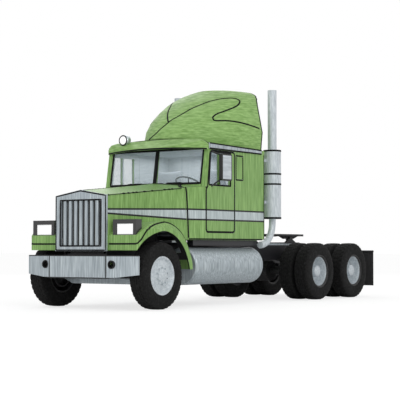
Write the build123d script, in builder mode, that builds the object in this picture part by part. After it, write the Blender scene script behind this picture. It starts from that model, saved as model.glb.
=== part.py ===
from build123d import *
import os

os.makedirs("parts", exist_ok=True)

# Road tractor with a sleeper cab, 6x4, millimetres.
# +X is forward, +Y the driver's left, +Z up. The origin is on the ground, under the middle of the
# whole length. Stations are measured forward from the front axle, and at() gives their X.
front_axle_x = 3092


def at(station):
    """X of a station that is measured forward from the front axle."""
    return front_axle_x + station


def keep(piece, name):
    """Label a finished piece and write it to its own file."""
    piece.part.label = name
    export_step(piece.part, f"parts/{name}.step")


SIDES = (("left", 1), ("right", -1))
gap = 5

# Wheels and tyres
tyre_radius = 521
tyre_width = 280
bead_radius = 290.5
rim_radius = 289.5
barrel_radius = 262
front_track_y = 1020
dual_outer_y = 1080
dual_inner_y = 750
fore_drive_station = -4718
aft_drive_station = -6020
wheel_height = tyre_radius

# Steering
kingpin_y = 930
kingpin_radius = 25
pin_clearance = 0.05
spindle_radius = 45
drive_spindle_radius = 60

# Frame
rail_outer_y = 430
rail_flange = 80
rail_height = 270
rail_wall = 9
rail_top = 1000
rail_front = 480
rail_rear = -6860
rail_bottom = rail_top - rail_height

# Bumper
bumper_face = 676
bumper_top = 838
bumper_bottom = 480
bumper_end_bottom = 540
bumper_bend_y = 575
bumper_half_width = 1120
bumper_sweep = 115
bumper_return = 22
bumper_wall = 16
tow_bore_y = 670
tow_bore_z = 695
tow_bore_radius = 50
tow_boss_radius = 64
tow_boss_length = 40

# Grille
grille_face = 602
grille_back = 562
grille_bottom = 902
grille_half_width = 516
grille_corner = 1765
grille_peak = 1852
grille_opening_half = 407
grille_opening_bottom = 990
grille_opening_top = 1682
grille_bar_count = 7
grille_bar_width = 54
grille_bar_depth = 26

# Nose, from the grille to the doors. Each row: station, bottom, half width at the bottom,
# half width at the shoulder, height of the shoulder, height of the ridge.
NOSE_SECTIONS = (
    (560, 902, 506, 512, 1762, 1848),
    (-820, 1080, 1000, 926, 1908, 1979),
    (-1285, 1080, 1050, 1046, 1951, 2030),
)
nose_wall = 24
nose_open = 200
hood_side_edge = -850
hood_top_edge = -1225
hood_top_half = 560
hood_gap = 8

# Front fender and wheel arch, in side view
fender_inner_y = 480
fender_crease_y = 1100
fender_lip_y = 1190
fender_front = 545
fender_rear = -805
fender_rear_bottom = 612
fender_crown = 1354
arch_crown = 1210
arch_rear = -655
fender_wall = 24
fender_nose_y = 1070
fender_nose_start = 160
arch_inner_y = 450

# Headlamps
lamp_face = 536
lamp_back = 400
lamp_inner_y = 598
lamp_outer_y = 1052
lamp_bottom = 1090
lamp_top = 1385
lamp_rim = 62
lens_depth = 24
lamp_station = (lamp_face + lamp_back) / 2
lamp_middle_y = (lamp_inner_y + lamp_outer_y) / 2
lamp_middle_z = (lamp_bottom + lamp_top) / 2
lamp_depth = lamp_face - lamp_back
lamp_width = lamp_outer_y - lamp_inner_y
lamp_height = lamp_top - lamp_bottom

# Cab
cab_half_width = 1050
cab_wall = 50
cab_bottom = 1080
floor_top = 1140
cab_rear = -3060
firewall_station = -1030
belt_height = 1950
roof_bottom = 2600
roof_top = 2640
screen_foot = -1270
screen_head = -1375
pillar_depth_foot = 55
pillar_depth_head = 25
screen_half_width = 935
screen_bottom = 2020
screen_top = 2575
divider_width = 56

# Doors
door_front = -1290
door_upper_front = -1332
door_head_front = -1407
door_rear = -2140
door_bottom = 1200
door_top = 2560
door_corner = 70
door_gap = 7
window_front_foot = -1394
window_front_head = -1445
window_rear = -2000
window_bottom = 1994
window_top = 2520
window_divider = -1690
window_divider_width = 34
glass_thickness = 8

# Roof fairing. Each row: height, station of its rear edge, length ahead of it, half width.
FAIRING_SECTIONS = (
    (2640, -3020, 1500, 1010),
    (2810, -3028, 1530, 1020),
    (2960, -3028, 1460, 1035),
    (3130, -3028, 1320, 1000),
    (3330, -3072, 1120, 930),
    (3480, -3118, 920, 870),
    (3560, -3172, 810, 820),
    (3650, -3262, 700, 740),
    (3710, -3300, 590, 620),
    (3740, -3300, 530, 450),
)
fairing_wall = 40

# Exhaust stacks
stack_station = -3360
stack_y = 1026
stack_pipe_radius = 79
stack_top = 3733
muffler_radius = 155
muffler_bottom = 1459
muffler_top = 2673
elbow_radius = 60

# Fuel tanks
tank_front = -915
tank_rear = -2900
tank_radius = 306
tank_y = 830
tank_z = 657
tank_chamfer = 26
tank_bracket_stations = (-1350, -2450)

# Coupling plate
coupling_pivot = -4950
coupling_pivot_z = 1130
coupling_top = 1210
coupling_thickness = 38
coupling_front = -4290
coupling_rear = -5480
coupling_half_width = 460
jaw_radius = 25.6
throat_neck = 30
throat_mouth = 420

# Frame rails: two channels, open inwards
with BuildPart() as frame_rails:
    with BuildSketch(Plane.YZ.offset(at(rail_rear))):
        for name, side in SIDES:
            with Locations((side * (rail_outer_y - rail_flange / 2), rail_top - rail_height / 2)):
                Rectangle(rail_flange, rail_height)
            with Locations((side * (rail_outer_y - rail_flange / 2 - rail_wall), rail_top - rail_height / 2)):
                Rectangle(rail_flange, rail_height - 2 * rail_wall, mode=Mode.SUBTRACT)
    extrude(amount=rail_front - rail_rear)
keep(frame_rails, "frame_rails")

# Crossmembers between the webs. Each row: station, bottom, top.
CROSSMEMBERS = (
    (400, 745, 860),
    (-350, 745, 790),
    (-2300, 905, 985),
    (-3300, 905, 985),
    (-4200, 905, 985),
    (-5369, 860, 985),
    (-6800, 760, 970),
)
crossmember_length = 90
with BuildPart() as crossmembers:
    for station, bottom, top in CROSSMEMBERS:
        with Locations((at(station), 0, (bottom + top) / 2)):
            Box(crossmember_length, 2 * (rail_outer_y - rail_wall), top - bottom)
keep(crossmembers, "crossmembers")

# Bumper: a bent plate with a swept wing at each end, two frame horns and two tow bores
wing_face = bumper_face - bumper_sweep
with BuildPart() as bumper:
    with BuildSketch(Plane.XY.offset(bumper_bottom)):
        with BuildLine():
            Polyline(
                (at(wing_face - bumper_return), -bumper_half_width),
                (at(wing_face), -bumper_half_width),
                (at(bumper_face), -bumper_bend_y),
                (at(bumper_face), bumper_bend_y),
                (at(wing_face), bumper_half_width),
                (at(wing_face - bumper_return), bumper_half_width),
                close=True,
            )
        make_face()
        with BuildLine():
            Polyline(
                (at(wing_face - bumper_return) - 1, -bumper_half_width + bumper_wall),
                (at(wing_face) - bumper_wall, -bumper_half_width + bumper_wall),
                (at(bumper_face) - bumper_wall, -bumper_bend_y),
                (at(bumper_face) - bumper_wall, bumper_bend_y),
                (at(wing_face) - bumper_wall, bumper_half_width - bumper_wall),
                (at(wing_face - bumper_return) - 1, bumper_half_width - bumper_wall),
                close=True,
            )
        make_face(mode=Mode.SUBTRACT)
    extrude(amount=bumper_top - bumper_bottom)
    with BuildSketch(Plane.YZ.offset(at(wing_face - bumper_return - 10))):
        for name, side in SIDES:
            with BuildLine():
                Polyline(
                    (side * bumper_bend_y, bumper_bottom - 1),
                    (side * bumper_bend_y, bumper_bottom),
                    (side * (bumper_half_width + 1), bumper_end_bottom),
                    (side * (bumper_half_width + 1), bumper_bottom - 1),
                    close=True,
                )
            make_face()
    extrude(amount=bumper_sweep + bumper_return + 20, mode=Mode.SUBTRACT)
    boss_face = at(bumper_face) - 4
    with BuildSketch(Plane.YZ.offset(boss_face - tow_boss_length)):
        with Locations((tow_bore_y, tow_bore_z), (-tow_bore_y, tow_bore_z)):
            Circle(tow_boss_radius)
    extrude(amount=tow_boss_length)
    with BuildSketch(Plane.YZ.offset(boss_face - tow_boss_length - 1)):
        with Locations((tow_bore_y, tow_bore_z), (-tow_bore_y, tow_bore_z)):
            Circle(tow_bore_radius)
    extrude(amount=tow_boss_length + 2, mode=Mode.SUBTRACT)
    horn_length = bumper_face - bumper_wall - rail_front
    for name, side in SIDES:
        with Locations((at(rail_front) + horn_length / 2, side * (rail_outer_y - rail_flange / 2), 790)):
            Box(horn_length, rail_flange, 90)
keep(bumper, "bumper")

# Front axle: a dropped beam with a kingpin eye at each end
beam_width = 100
eye_radius = 52
eye_height = 110
beam_low_bottom = 380
beam_low_top = 470
eye_bottom = wheel_height - eye_height / 2
eye_top = wheel_height + eye_height / 2
with BuildPart() as front_axle:
    with BuildSketch(Plane.YZ.offset(at(0) - beam_width / 2)):
        with BuildLine():
            Polyline(
                (-kingpin_y, eye_bottom),
                (-820, eye_bottom),
                (-640, beam_low_bottom),
                (640, beam_low_bottom),
                (820, eye_bottom),
                (kingpin_y, eye_bottom),
                (kingpin_y, eye_top),
                (760, eye_top),
                (600, beam_low_top),
                (-600, beam_low_top),
                (-760, eye_top),
                (-kingpin_y, eye_top),
                close=True,
            )
        make_face()
    extrude(amount=beam_width)
    with Locations((at(0), kingpin_y, wheel_height), (at(0), -kingpin_y, wheel_height)):
        Cylinder(eye_radius, eye_height)
        Cylinder(kingpin_radius + pin_clearance, eye_height + 2, mode=Mode.SUBTRACT)
keep(front_axle, "front_axle")

# Springs: front leaf packs on the beam, rear packs across each pair of drive axles
spring_y = 390
spring_width = 76
leaf_pack = 42
front_spring_front = 440
front_spring_rear = -740
front_spring_ends = 728
rear_spring_reach = 110
rear_spring_ends = 610
drive_tube_radius = 74
rear_spring_y = 505
bogie_station = (fore_drive_station + aft_drive_station) / 2
drive_tube_top = wheel_height + drive_tube_radius
with BuildPart() as suspension:
    for name, side in SIDES:
        with BuildSketch(Plane.XZ.offset(-side * spring_y - spring_width / 2)):
            with BuildLine():
                front_end = (at(front_spring_front), front_spring_ends)
                rear_end = (at(front_spring_rear), front_spring_ends)
                front_low = (at(front_spring_front), front_spring_ends - leaf_pack)
                rear_low = (at(front_spring_rear), front_spring_ends - leaf_pack)
                ThreePointArc(front_end, (at(0), beam_low_top + 10 + leaf_pack), rear_end)
                Line(rear_end, rear_low)
                ThreePointArc(rear_low, (at(0), beam_low_top + 10), front_low)
                Line(front_low, front_end)
            make_face()
            with Locations((at(0), beam_low_top + 6)):
                Rectangle(beam_width, 12)
            with Locations((at(front_spring_front - 30), 715), (at(front_spring_rear + 30), 715)):
                Rectangle(60, 30)
        extrude(amount=spring_width)
        with BuildSketch(Plane.XZ.offset(-side * rear_spring_y - spring_width / 2)):
            with BuildLine():
                fore_x = at(fore_drive_station + rear_spring_reach)
                aft_x = at(aft_drive_station - rear_spring_reach)
                end_top = rear_spring_ends + 30
                ThreePointArc((aft_x, end_top), (at(bogie_station), 760), (fore_x, end_top))
                Line((fore_x, end_top), (fore_x, rear_spring_ends))
                ThreePointArc((fore_x, rear_spring_ends), (at(bogie_station), 690), (aft_x, rear_spring_ends))
                Line((aft_x, rear_spring_ends), (aft_x, end_top))
            make_face()
            for station in (fore_drive_station, aft_drive_station):
                with Locations((at(station), drive_tube_top + 14)):
                    Rectangle(90, 40)
            with Locations((at(bogie_station), 780)):
                Rectangle(220, 160)
        extrude(amount=spring_width)
        trunnion_length = rear_spring_y - spring_width / 2 - rail_outer_y
        with Locations((at(bogie_station), side * (rail_outer_y + trunnion_length / 2), 830)):
            Box(180, trunnion_length, 60)
    for station in (fore_drive_station, aft_drive_station):
        with Locations(Location((at(station), 0, wheel_height), (90, 0, 0))):
            Cylinder(drive_tube_radius, 2 * 700, mode=Mode.SUBTRACT)
keep(suspension, "suspension")

# Drive axles with their brake drums and spindles, and the two drive shafts
diff_radius = 190
brake_radius = 205
with BuildPart() as drive_axles:
    for station in (fore_drive_station, aft_drive_station):
        hub_axis = Plane(origin=(at(station), 0, wheel_height), x_dir=(1, 0, 0), z_dir=(0, 1, 0))
        with BuildSketch(hub_axis):
            Circle(drive_spindle_radius)
        extrude(amount=1050, both=True)
        with BuildSketch(hub_axis):
            Circle(drive_tube_radius)
        extrude(amount=790, both=True)
        with BuildSketch(hub_axis):
            Circle(diff_radius)
        extrude(amount=150, both=True)
        for name, side in SIDES:
            with BuildSketch(hub_axis.offset(side * 640)):
                Circle(brake_radius)
            extrude(amount=side * 140)
keep(drive_axles, "drive_axles")

gearbox_rear = -1750
gearbox_length = 800
gearbox_width = 440
gearbox_height = 300
gearbox_z = 890
shaft_radius = 50
shaft_start = diff_radius - 6
with BuildPart() as drive_shafts:
    gearbox_end = Vector(at(gearbox_rear) + 12, 0, gearbox_z + 10)
    fore_end = Vector(at(fore_drive_station) + shaft_start, 0, 565)
    with BuildSketch(Plane(origin=gearbox_end, z_dir=fore_end - gearbox_end)):
        Circle(shaft_radius)
    extrude(amount=(fore_end - gearbox_end).length - 12)
    with Locations(Location((at(bogie_station), 0, wheel_height), (0, 90, 0))):
        Cylinder(shaft_radius, fore_drive_station - aft_drive_station - 2 * shaft_start)
    for station in (fore_drive_station, aft_drive_station):
        with Locations(Location((at(station), 0, wheel_height), (90, 0, 0))):
            Cylinder(diff_radius + 1, 302, mode=Mode.SUBTRACT)
    with Locations((at(gearbox_rear) + gearbox_length / 2, 0, gearbox_z)):
        Box(gearbox_length, gearbox_width, gearbox_height, mode=Mode.SUBTRACT)
keep(drive_shafts, "drive_shafts")

# Engine, gearbox and radiator: plain heavy blocks at their real places
with BuildPart() as engine:
    with Locations((at(-350), 0, 1120)):
        Box(1200, 640, 660)
    with Locations((at(gearbox_rear) + gearbox_length / 2, 0, gearbox_z)):
        Box(gearbox_length, gearbox_width, gearbox_height)
    with Locations((at(400), 0, 1240)):
        Box(90, 680, 760)
keep(engine, "engine")

# Fuel tanks with the brackets that hold them to the rails
with BuildPart() as fuel_tanks:
    for name, side in SIDES:
        with Locations(Location((at((tank_front + tank_rear) / 2), side * tank_y, tank_z), (0, 90, 0))):
            Cylinder(tank_radius, tank_front - tank_rear)
    chamfer(fuel_tanks.edges().filter_by(GeomType.CIRCLE), length=tank_chamfer)
    for name, side in SIDES:
        for station in tank_bracket_stations:
            bracket_width = tank_y - rail_outer_y - 150
            with Locations((at(station), side * (rail_outer_y + bracket_width / 2), 850)):
                Box(70, bracket_width, 120)
keep(fuel_tanks, "fuel_tanks")

# Exhaust stacks: muffler, upper pipe and an elbow that runs forward under the sleeper
elbow_floor = 1000
elbow_reach = 400
with BuildPart() as exhaust_stacks:
    for name, side in SIDES:
        with Locations((at(stack_station), side * stack_y, (muffler_bottom + muffler_top) / 2)):
            Cylinder(muffler_radius, muffler_top - muffler_bottom)
        with Locations((at(stack_station), side * stack_y, (muffler_top + stack_top) / 2)):
            Cylinder(stack_pipe_radius, stack_top - muffler_top)
        with Locations((at(stack_station), side * stack_y, stack_top - 60)):
            Cylinder(stack_pipe_radius - 6, 121, mode=Mode.SUBTRACT)
        with BuildLine(Plane.XZ.offset(-side * stack_y)):
            stack_x = at(stack_station)
            Line((stack_x, muffler_bottom + 10), (stack_x, elbow_floor + elbow_reach))
            RadiusArc((stack_x, elbow_floor + elbow_reach), (stack_x + elbow_reach, elbow_floor), -elbow_reach)
        with BuildSketch(Plane(origin=(stack_x, side * stack_y, muffler_bottom + 10), z_dir=(0, 0, -1))):
            Circle(elbow_radius)
        sweep()
        for height in (1750, 2480):
            arm = cab_rear - stack_station - muffler_radius + 20
            with Locations((at(cab_rear) - arm / 2, side * 960, height)):
                Box(arm, 70, 50)
keep(exhaust_stacks, "exhaust_stacks")

# Deck plate behind the sleeper, across the rails, and the two slide bars of the coupling behind it
deck_front = -3180
deck_rear = -4180
slide_front = -3950
slide_rear = -5470
slide_inner_y = 408
slide_outer_y = 450
slide_height = 35
with BuildPart() as deck_plate:
    with Locations((at((deck_front + deck_rear) / 2), 0, rail_top + 12)):
        Box(deck_front - deck_rear, 1100, 24)
    for name, side in SIDES:
        slide_y = side * (slide_inner_y + slide_outer_y) / 2
        with Locations((at((slide_front + slide_rear) / 2), slide_y, rail_top + slide_height / 2)):
            Box(slide_front - slide_rear, slide_outer_y - slide_inner_y, slide_height)
keep(deck_plate, "deck_plate")

# Coupling plate and its bracket
ear_inner_y = 360
ear_width = 36
pedestal_inner_y = ear_inner_y + ear_width + gap
pedestal_width = 40
pedestal_head = 33
bracket_base = 20
bracket_length = 560
bracket_top = rail_top + slide_height + bracket_base
coupling_pin_radius = 25
coupling_pin_length = 70
with BuildPart() as coupling_bracket:
    with Locations((at(coupling_pivot), 0, bracket_top - bracket_base / 2)):
        Box(bracket_length, 2 * 462, bracket_base)
    for name, side in SIDES:
        pedestal_y = side * (pedestal_inner_y + pedestal_width / 2)
        with BuildSketch(Plane.XZ.offset(-pedestal_y - pedestal_width / 2)):
            with BuildLine():
                Polyline(
                    (at(coupling_pivot) - 180, bracket_top - 1),
                    (at(coupling_pivot) + 180, bracket_top - 1),
                    (at(coupling_pivot) + pedestal_head, coupling_pivot_z),
                    (at(coupling_pivot) - pedestal_head, coupling_pivot_z),
                    close=True,
                )
            make_face()
            with Locations((at(coupling_pivot), coupling_pivot_z)):
                Circle(pedestal_head)
        extrude(amount=pedestal_width)
        pin_y = side * (pedestal_inner_y - 20)
        with Locations(Location((at(coupling_pivot), pin_y, coupling_pivot_z), (90, 0, 0))):
            Cylinder(coupling_pin_radius, coupling_pin_length)
keep(coupling_bracket, "coupling_bracket")

rib_reach = 330
rib_depth = 52
plate_bottom = coupling_top - coupling_thickness
ear_height = plate_bottom + 2 - coupling_pivot_z
ear_radius = 60
with BuildPart() as coupling_plate:
    with BuildSketch(Plane.XY.offset(plate_bottom)):
        with BuildLine():
            Polyline(
                (at(coupling_rear), -coupling_half_width + 60),
                (at(coupling_rear) + 300, -coupling_half_width),
                (at(coupling_front) - 300, -coupling_half_width),
                (at(coupling_front), -coupling_half_width + 160),
                (at(coupling_front), coupling_half_width - 160),
                (at(coupling_front) - 300, coupling_half_width),
                (at(coupling_rear) + 300, coupling_half_width),
                (at(coupling_rear), coupling_half_width - 60),
                (at(coupling_rear), throat_mouth / 2),
                (at(coupling_pivot) - 90, throat_neck / 2),
                (at(coupling_pivot), throat_neck / 2),
                (at(coupling_pivot), -throat_neck / 2),
                (at(coupling_pivot) - 90, -throat_neck / 2),
                (at(coupling_rear), -throat_mouth / 2),
                close=True,
            )
        make_face()
        with Locations((at(coupling_pivot), 0)):
            Circle(jaw_radius, mode=Mode.SUBTRACT)
    extrude(amount=coupling_thickness)
    for name, side in SIDES:
        ear_middle = side * (ear_inner_y + ear_width / 2)
        with Locations((at(coupling_pivot), ear_middle, coupling_pivot_z + ear_height / 2)):
            Box(2 * ear_radius, ear_width, ear_height)
        with BuildSketch(Plane.XZ.offset(-ear_middle - ear_width / 2)):
            with BuildLine():
                Polyline(
                    (at(coupling_pivot) - rib_reach, plate_bottom + 1),
                    (at(coupling_pivot) - rib_reach / 2, plate_bottom - rib_depth),
                    (at(coupling_pivot) + rib_reach / 2, plate_bottom - rib_depth),
                    (at(coupling_pivot) + rib_reach, plate_bottom + 1),
                    close=True,
                )
            make_face()
        extrude(amount=ear_width)
        with Locations(Location((at(coupling_pivot), ear_middle, coupling_pivot_z), (90, 0, 0))):
            Cylinder(ear_radius, ear_width)
            Cylinder(coupling_pin_radius + pin_clearance, ear_width + 2, mode=Mode.SUBTRACT)
keep(coupling_plate, "coupling_plate")

# Mud flaps on their hanger bars, at the rear of the frame
flap_station = -6790
flap_y = 915
flap_width = 610
flap_height = 660
flap_middle_z = 540
hanger_length = flap_y + flap_width / 2 - rail_outer_y
with BuildPart() as mudflaps:
    for name, side in SIDES:
        hanger_y = side * (rail_outer_y + hanger_length / 2)
        with Locations(Location((at(flap_station), hanger_y, 880), (90, 0, 0))):
            Cylinder(22, hanger_length)
        with Locations((at(flap_station), side * flap_y, flap_middle_z)):
            Box(14, flap_width, flap_height)
keep(mudflaps, "mudflaps")


# Cab: floor, front, sides, back, roof
def nose_face(row, wall):
    """One section of the nose; inside a wall it also runs out below, so the nose stays open there."""
    station, bottom, low_half, shoulder_half, shoulder, ridge = row
    points = [
        (low_half - wall, bottom),
        (shoulder_half - wall, shoulder - wall),
        (0, ridge - wall),
        (-shoulder_half + wall, shoulder - wall),
        (-low_half + wall, bottom),
    ]
    if wall:
        points = [(low_half - wall, bottom - nose_open), *points, (-low_half + wall, bottom - nose_open)]
    with BuildSketch(Plane.YZ.offset(at(station))) as face:
        with BuildLine():
            Polyline(*points, close=True)
        make_face()
    return face.sketch.face()


def stretch(row_a, row_b, station):
    """A nose row at another station, on the straight line through two rows."""
    share = (station - row_a[0]) / (row_b[0] - row_a[0])
    return tuple(a + share * (b - a) for a, b in zip(row_a, row_b))


def nose_solid(wall):
    """The whole nose as a filled form; a wall above 0 gives the hollow that it encloses."""
    rows = list(NOSE_SECTIONS)
    if wall:
        rows[0] = stretch(rows[0], rows[1], rows[0][0] + 10)
        rows[2] = stretch(rows[1], rows[2], rows[2][0] - 10)
    with BuildPart() as solid:
        loft(sections=[nose_face(row, wall) for row in rows], ruled=True)
    return solid.part


def hood_plan(back_off):
    """Plan of the hood, with its rear edge moved rearwards by back_off, as a tall prism."""
    side_edge = at(hood_side_edge - back_off)
    top_edge = at(hood_top_edge - back_off)
    with BuildPart() as prism:
        with BuildSketch(Plane.XY.offset(500)):
            with BuildLine():
                Polyline((side_edge, 900), (side_edge, 1300), (at(900), 1300))
                Line((at(900), 1300), (at(900), -1300))
                Polyline((at(900), -1300), (side_edge, -1300), (side_edge, -900))
                ThreePointArc((side_edge, -900), (side_edge - 150, -740), (top_edge, -hood_top_half))
                Line((top_edge, -hood_top_half), (top_edge, hood_top_half))
                ThreePointArc((top_edge, hood_top_half), (side_edge - 150, 740), (side_edge, 900))
            make_face()
        extrude(amount=2000)
    return prism.part


nose_outer = nose_solid(0)
nose_hollow = nose_solid(nose_wall)


def screen_station(height, depth_foot, depth_head):
    """Station of the windshield plane at a height, set back by depths at its foot and head."""
    share = (height - belt_height) / (roof_bottom - belt_height)
    return screen_foot - depth_foot + share * (screen_head - depth_head - screen_foot + depth_foot)


with BuildPart() as firewall:
    with Locations((at(firewall_station + nose_wall / 2), 0, cab_bottom + 520)):
        Box(nose_wall, 2 * cab_half_width + 100, 1040)
    add(nose_outer, mode=Mode.INTERSECT)

with BuildPart() as cab_front:
    add(nose_outer)
    add(nose_hollow, mode=Mode.SUBTRACT)
    add(firewall.part)
    add(hood_plan(hood_gap), mode=Mode.SUBTRACT)
    with BuildSketch(Plane.XZ.offset(cab_half_width)):
        with BuildLine():
            Polyline(
                (at(screen_foot), belt_height),
                (at(screen_head), roof_bottom),
                (at(screen_head - pillar_depth_head), roof_bottom),
                (at(screen_foot - pillar_depth_foot), belt_height),
                close=True,
            )
        make_face()
    extrude(amount=-2 * cab_half_width)
    with BuildSketch(Plane.YZ.offset(at(screen_foot + 60))):
        for name, side in SIDES:
            pane_width = screen_half_width - divider_width / 2
            with Locations((side * (screen_half_width - pane_width / 2), (screen_bottom + screen_top) / 2)):
                Rectangle(pane_width, screen_top - screen_bottom)
    extrude(amount=-260, mode=Mode.SUBTRACT)
keep(cab_front, "cab_front")

sill_rear = -2930
sill_y = 920
sill_width = 120
sill_depth = 92
with BuildPart() as cab_floor:
    with Locations((at((firewall_station + cab_rear) / 2), 0, (cab_bottom + floor_top) / 2)):
        Box(firewall_station - cab_rear, 2 * (cab_half_width - cab_wall), floor_top - cab_bottom)
    for name, side in SIDES:
        with Locations((at((firewall_station + sill_rear) / 2), side * sill_y, cab_bottom - sill_depth / 2)):
            Box(firewall_station - sill_rear, sill_width, sill_depth)
    add(cab_front.part, mode=Mode.SUBTRACT)
keep(cab_floor, "cab_floor")


# Cab sides: rear quarter and sleeper wall with its vent, and the sill and head of the door opening
def side_plane(side, inner, outer):
    """Side view plane on the left face of a slab that lies between two distances from the middle."""
    return Plane.XZ.offset(-max(side * inner, side * outer))


def door_prism(side, grow, inner, outer):
    """A door's outline through a slab, or its opening's outline when it is grown by a gap."""
    with BuildPart() as prism:
        with BuildSketch(side_plane(side, inner, outer)) as outline:
            with BuildLine():
                Polyline(
                    (at(door_front) + grow, door_bottom - grow),
                    (at(door_front) + grow, belt_height - 28),
                    (at(door_upper_front) + grow, belt_height - 8),
                    (at(door_head_front) + grow, door_top + grow),
                    (at(door_rear) - grow, door_top + grow),
                    (at(door_rear) - grow, door_bottom - grow),
                    close=True,
                )
            make_face()
            fillet(outline.vertices().filter_by(lambda v: v.Y < door_bottom + 1), radius=door_corner)
        extrude(amount=outer - inner)
    return prism.part


vent_front = -2178
vent_rear = -2379
vent_bottom = 2100
vent_top = 2500
vent_recess = 8
vent_length = vent_front - vent_rear
vent_height = vent_top - vent_bottom
with BuildPart() as cab_sides:
    for name, side in SIDES:
        with BuildSketch(Plane.XZ.offset(-side * (cab_half_width - cab_wall / 2) - cab_wall / 2)):
            with BuildLine():
                Polyline(
                    (at(door_front + gap), cab_bottom),
                    (at(door_front + gap), door_bottom + door_corner),
                    (at(door_rear), door_bottom + door_corner),
                    (at(door_rear), roof_bottom),
                    (at(cab_rear), roof_bottom),
                    (at(cab_rear), cab_bottom + 60),
                    (at(cab_rear + 60), cab_bottom),
                    close=True,
                )
            make_face()
            with BuildLine():
                Polyline(
                    (at(screen_head - pillar_depth_head), roof_bottom),
                    (at(door_head_front), door_top + gap),
                    (at(door_rear), door_top + gap),
                    (at(door_rear), roof_bottom),
                    close=True,
                )
            make_face()
        extrude(amount=cab_wall)
        opening = door_prism(side, door_gap, cab_half_width - 2 * cab_wall, cab_half_width + cab_wall)
        add(opening, mode=Mode.SUBTRACT)
        with BuildSketch(side_plane(side, cab_half_width - vent_recess, cab_half_width)):
            with Locations((at((vent_front + vent_rear) / 2), (vent_bottom + vent_top) / 2)):
                RectangleRounded(vent_length, vent_height, 30)
                RectangleRounded(vent_length - 20, vent_height - 20, 20, mode=Mode.SUBTRACT)
        extrude(amount=vent_recess, mode=Mode.SUBTRACT)
keep(cab_sides, "cab_sides")

with BuildPart() as sleeper_back:
    with Locations((at(cab_rear) + cab_wall / 2, 0, (floor_top + roof_bottom) / 2)):
        Box(cab_wall, 2 * (cab_half_width - cab_wall), roof_bottom - floor_top)
keep(sleeper_back, "sleeper_back")

with BuildPart() as cab_roof:
    with Locations((at((screen_head + cab_rear) / 2), 0, (roof_bottom + roof_top) / 2)):
        Box(screen_head - cab_rear, 2 * cab_half_width, roof_top - roof_bottom)
keep(cab_roof, "cab_roof")

rail_strip_rear = -2960
rail_strip_depth = 14
with BuildPart() as roof_rails:
    for name, side in SIDES:
        with BuildSketch(side_plane(side, cab_half_width, cab_half_width + rail_strip_depth)):
            with BuildLine():
                Polyline(
                    (at(screen_head), 2576),
                    (at(screen_head), 2674),
                    (at(rail_strip_rear), 2646),
                    (at(rail_strip_rear), 2572),
                    close=True,
                )
            make_face()
        extrude(amount=rail_strip_depth)
keep(roof_rails, "roof_rails")

# Visor: a sloping cap with a bowed front edge, a crowned top and a lip that droops at its ends
visor_front = -1140
visor_rear = -1420
visor_tip = -1345
visor_crown = 2776
visor_shoulder = 2744
visor_shoulder_y = 780
visor_end_top = 2636
visor_end_bottom = 2556
visor_under = 2588
visor_lip = 20


def visor_bow(back_off):
    """Plan line of the visor's front edge, moved back by back_off."""
    return ThreePointArc(
        (at(visor_tip - back_off), -cab_half_width),
        (at(visor_front - back_off), 0),
        (at(visor_tip - back_off), cab_half_width),
    )


with BuildPart() as visor:
    with BuildSketch(Plane.XZ.offset(-cab_half_width)):
        with BuildLine():
            Polyline(
                (at(visor_front), visor_under),
                (at(visor_front), visor_under + 24),
                (at(visor_rear), visor_crown),
                (at(visor_rear), roof_top),
                (at(screen_head), roof_top),
                (at(screen_head), roof_bottom),
                close=True,
            )
        make_face()
    extrude(amount=2 * cab_half_width)
    with BuildSketch(Plane.XY.offset(2500)):
        with BuildLine():
            visor_bow(0)
            Polyline(
                (at(visor_tip), cab_half_width),
                (at(visor_rear - 50), cab_half_width),
                (at(visor_rear - 50), -cab_half_width),
                (at(visor_tip), -cab_half_width),
            )
        make_face()
    extrude(amount=400, mode=Mode.INTERSECT)
    with BuildSketch(Plane.XY.offset(visor_end_bottom - 6)):
        with BuildLine():
            visor_bow(0)
            Line((at(visor_tip), cab_half_width), (at(visor_tip - visor_lip), cab_half_width))
            visor_bow(visor_lip)
            Line((at(visor_tip - visor_lip), -cab_half_width), (at(visor_tip), -cab_half_width))
        make_face()
    extrude(amount=roof_bottom - visor_end_bottom + 10)
    with BuildSketch(Plane.YZ.offset(at(visor_rear) - 10)):
        with BuildLine():
            end_bottom = (cab_half_width, visor_end_bottom)
            end_top = (cab_half_width, visor_end_top)
            shoulder_point = (visor_shoulder_y, visor_shoulder)
            ThreePointArc(end_bottom, (0, visor_under), (-cab_half_width, visor_end_bottom))
            Line((-cab_half_width, visor_end_bottom), (-cab_half_width, visor_end_top))
            ThreePointArc((-cab_half_width, visor_end_top), (-950, 2714), (-visor_shoulder_y, visor_shoulder))
            ThreePointArc((-visor_shoulder_y, visor_shoulder), (0, visor_crown), shoulder_point)
            ThreePointArc(shoulder_point, (950, 2714), end_top)
            Line(end_top, end_bottom)
        make_face()
    extrude(amount=400, mode=Mode.INTERSECT)
keep(visor, "visor")


def fairing_section(height, rear, length, half_width):
    """One level of the roof fairing: half an ellipse with a straight rear edge."""
    with BuildSketch(Plane.XY.offset(height)) as section:
        with BuildLine():
            EllipticalCenterArc((at(rear), 0), length, half_width, -90, arc_size=180)
            Line((at(rear), half_width), (at(rear), -half_width))
        make_face()
    return section.sketch.face()


def hollow_section(height, rear, length, half_width):
    """The same level inside the fairing's wall; the lowest level stays open to the roof."""
    level = height if height == roof_top else height - fairing_wall
    return fairing_section(level, rear + fairing_wall, length - 2 * fairing_wall, half_width - fairing_wall)


with BuildPart() as roof_fairing:
    loft(sections=[fairing_section(*row) for row in FAIRING_SECTIONS], ruled=True)
    loft(sections=[hollow_section(*row) for row in FAIRING_SECTIONS[:-1:2]], ruled=True, mode=Mode.SUBTRACT)
keep(roof_fairing, "roof_fairing")

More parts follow.
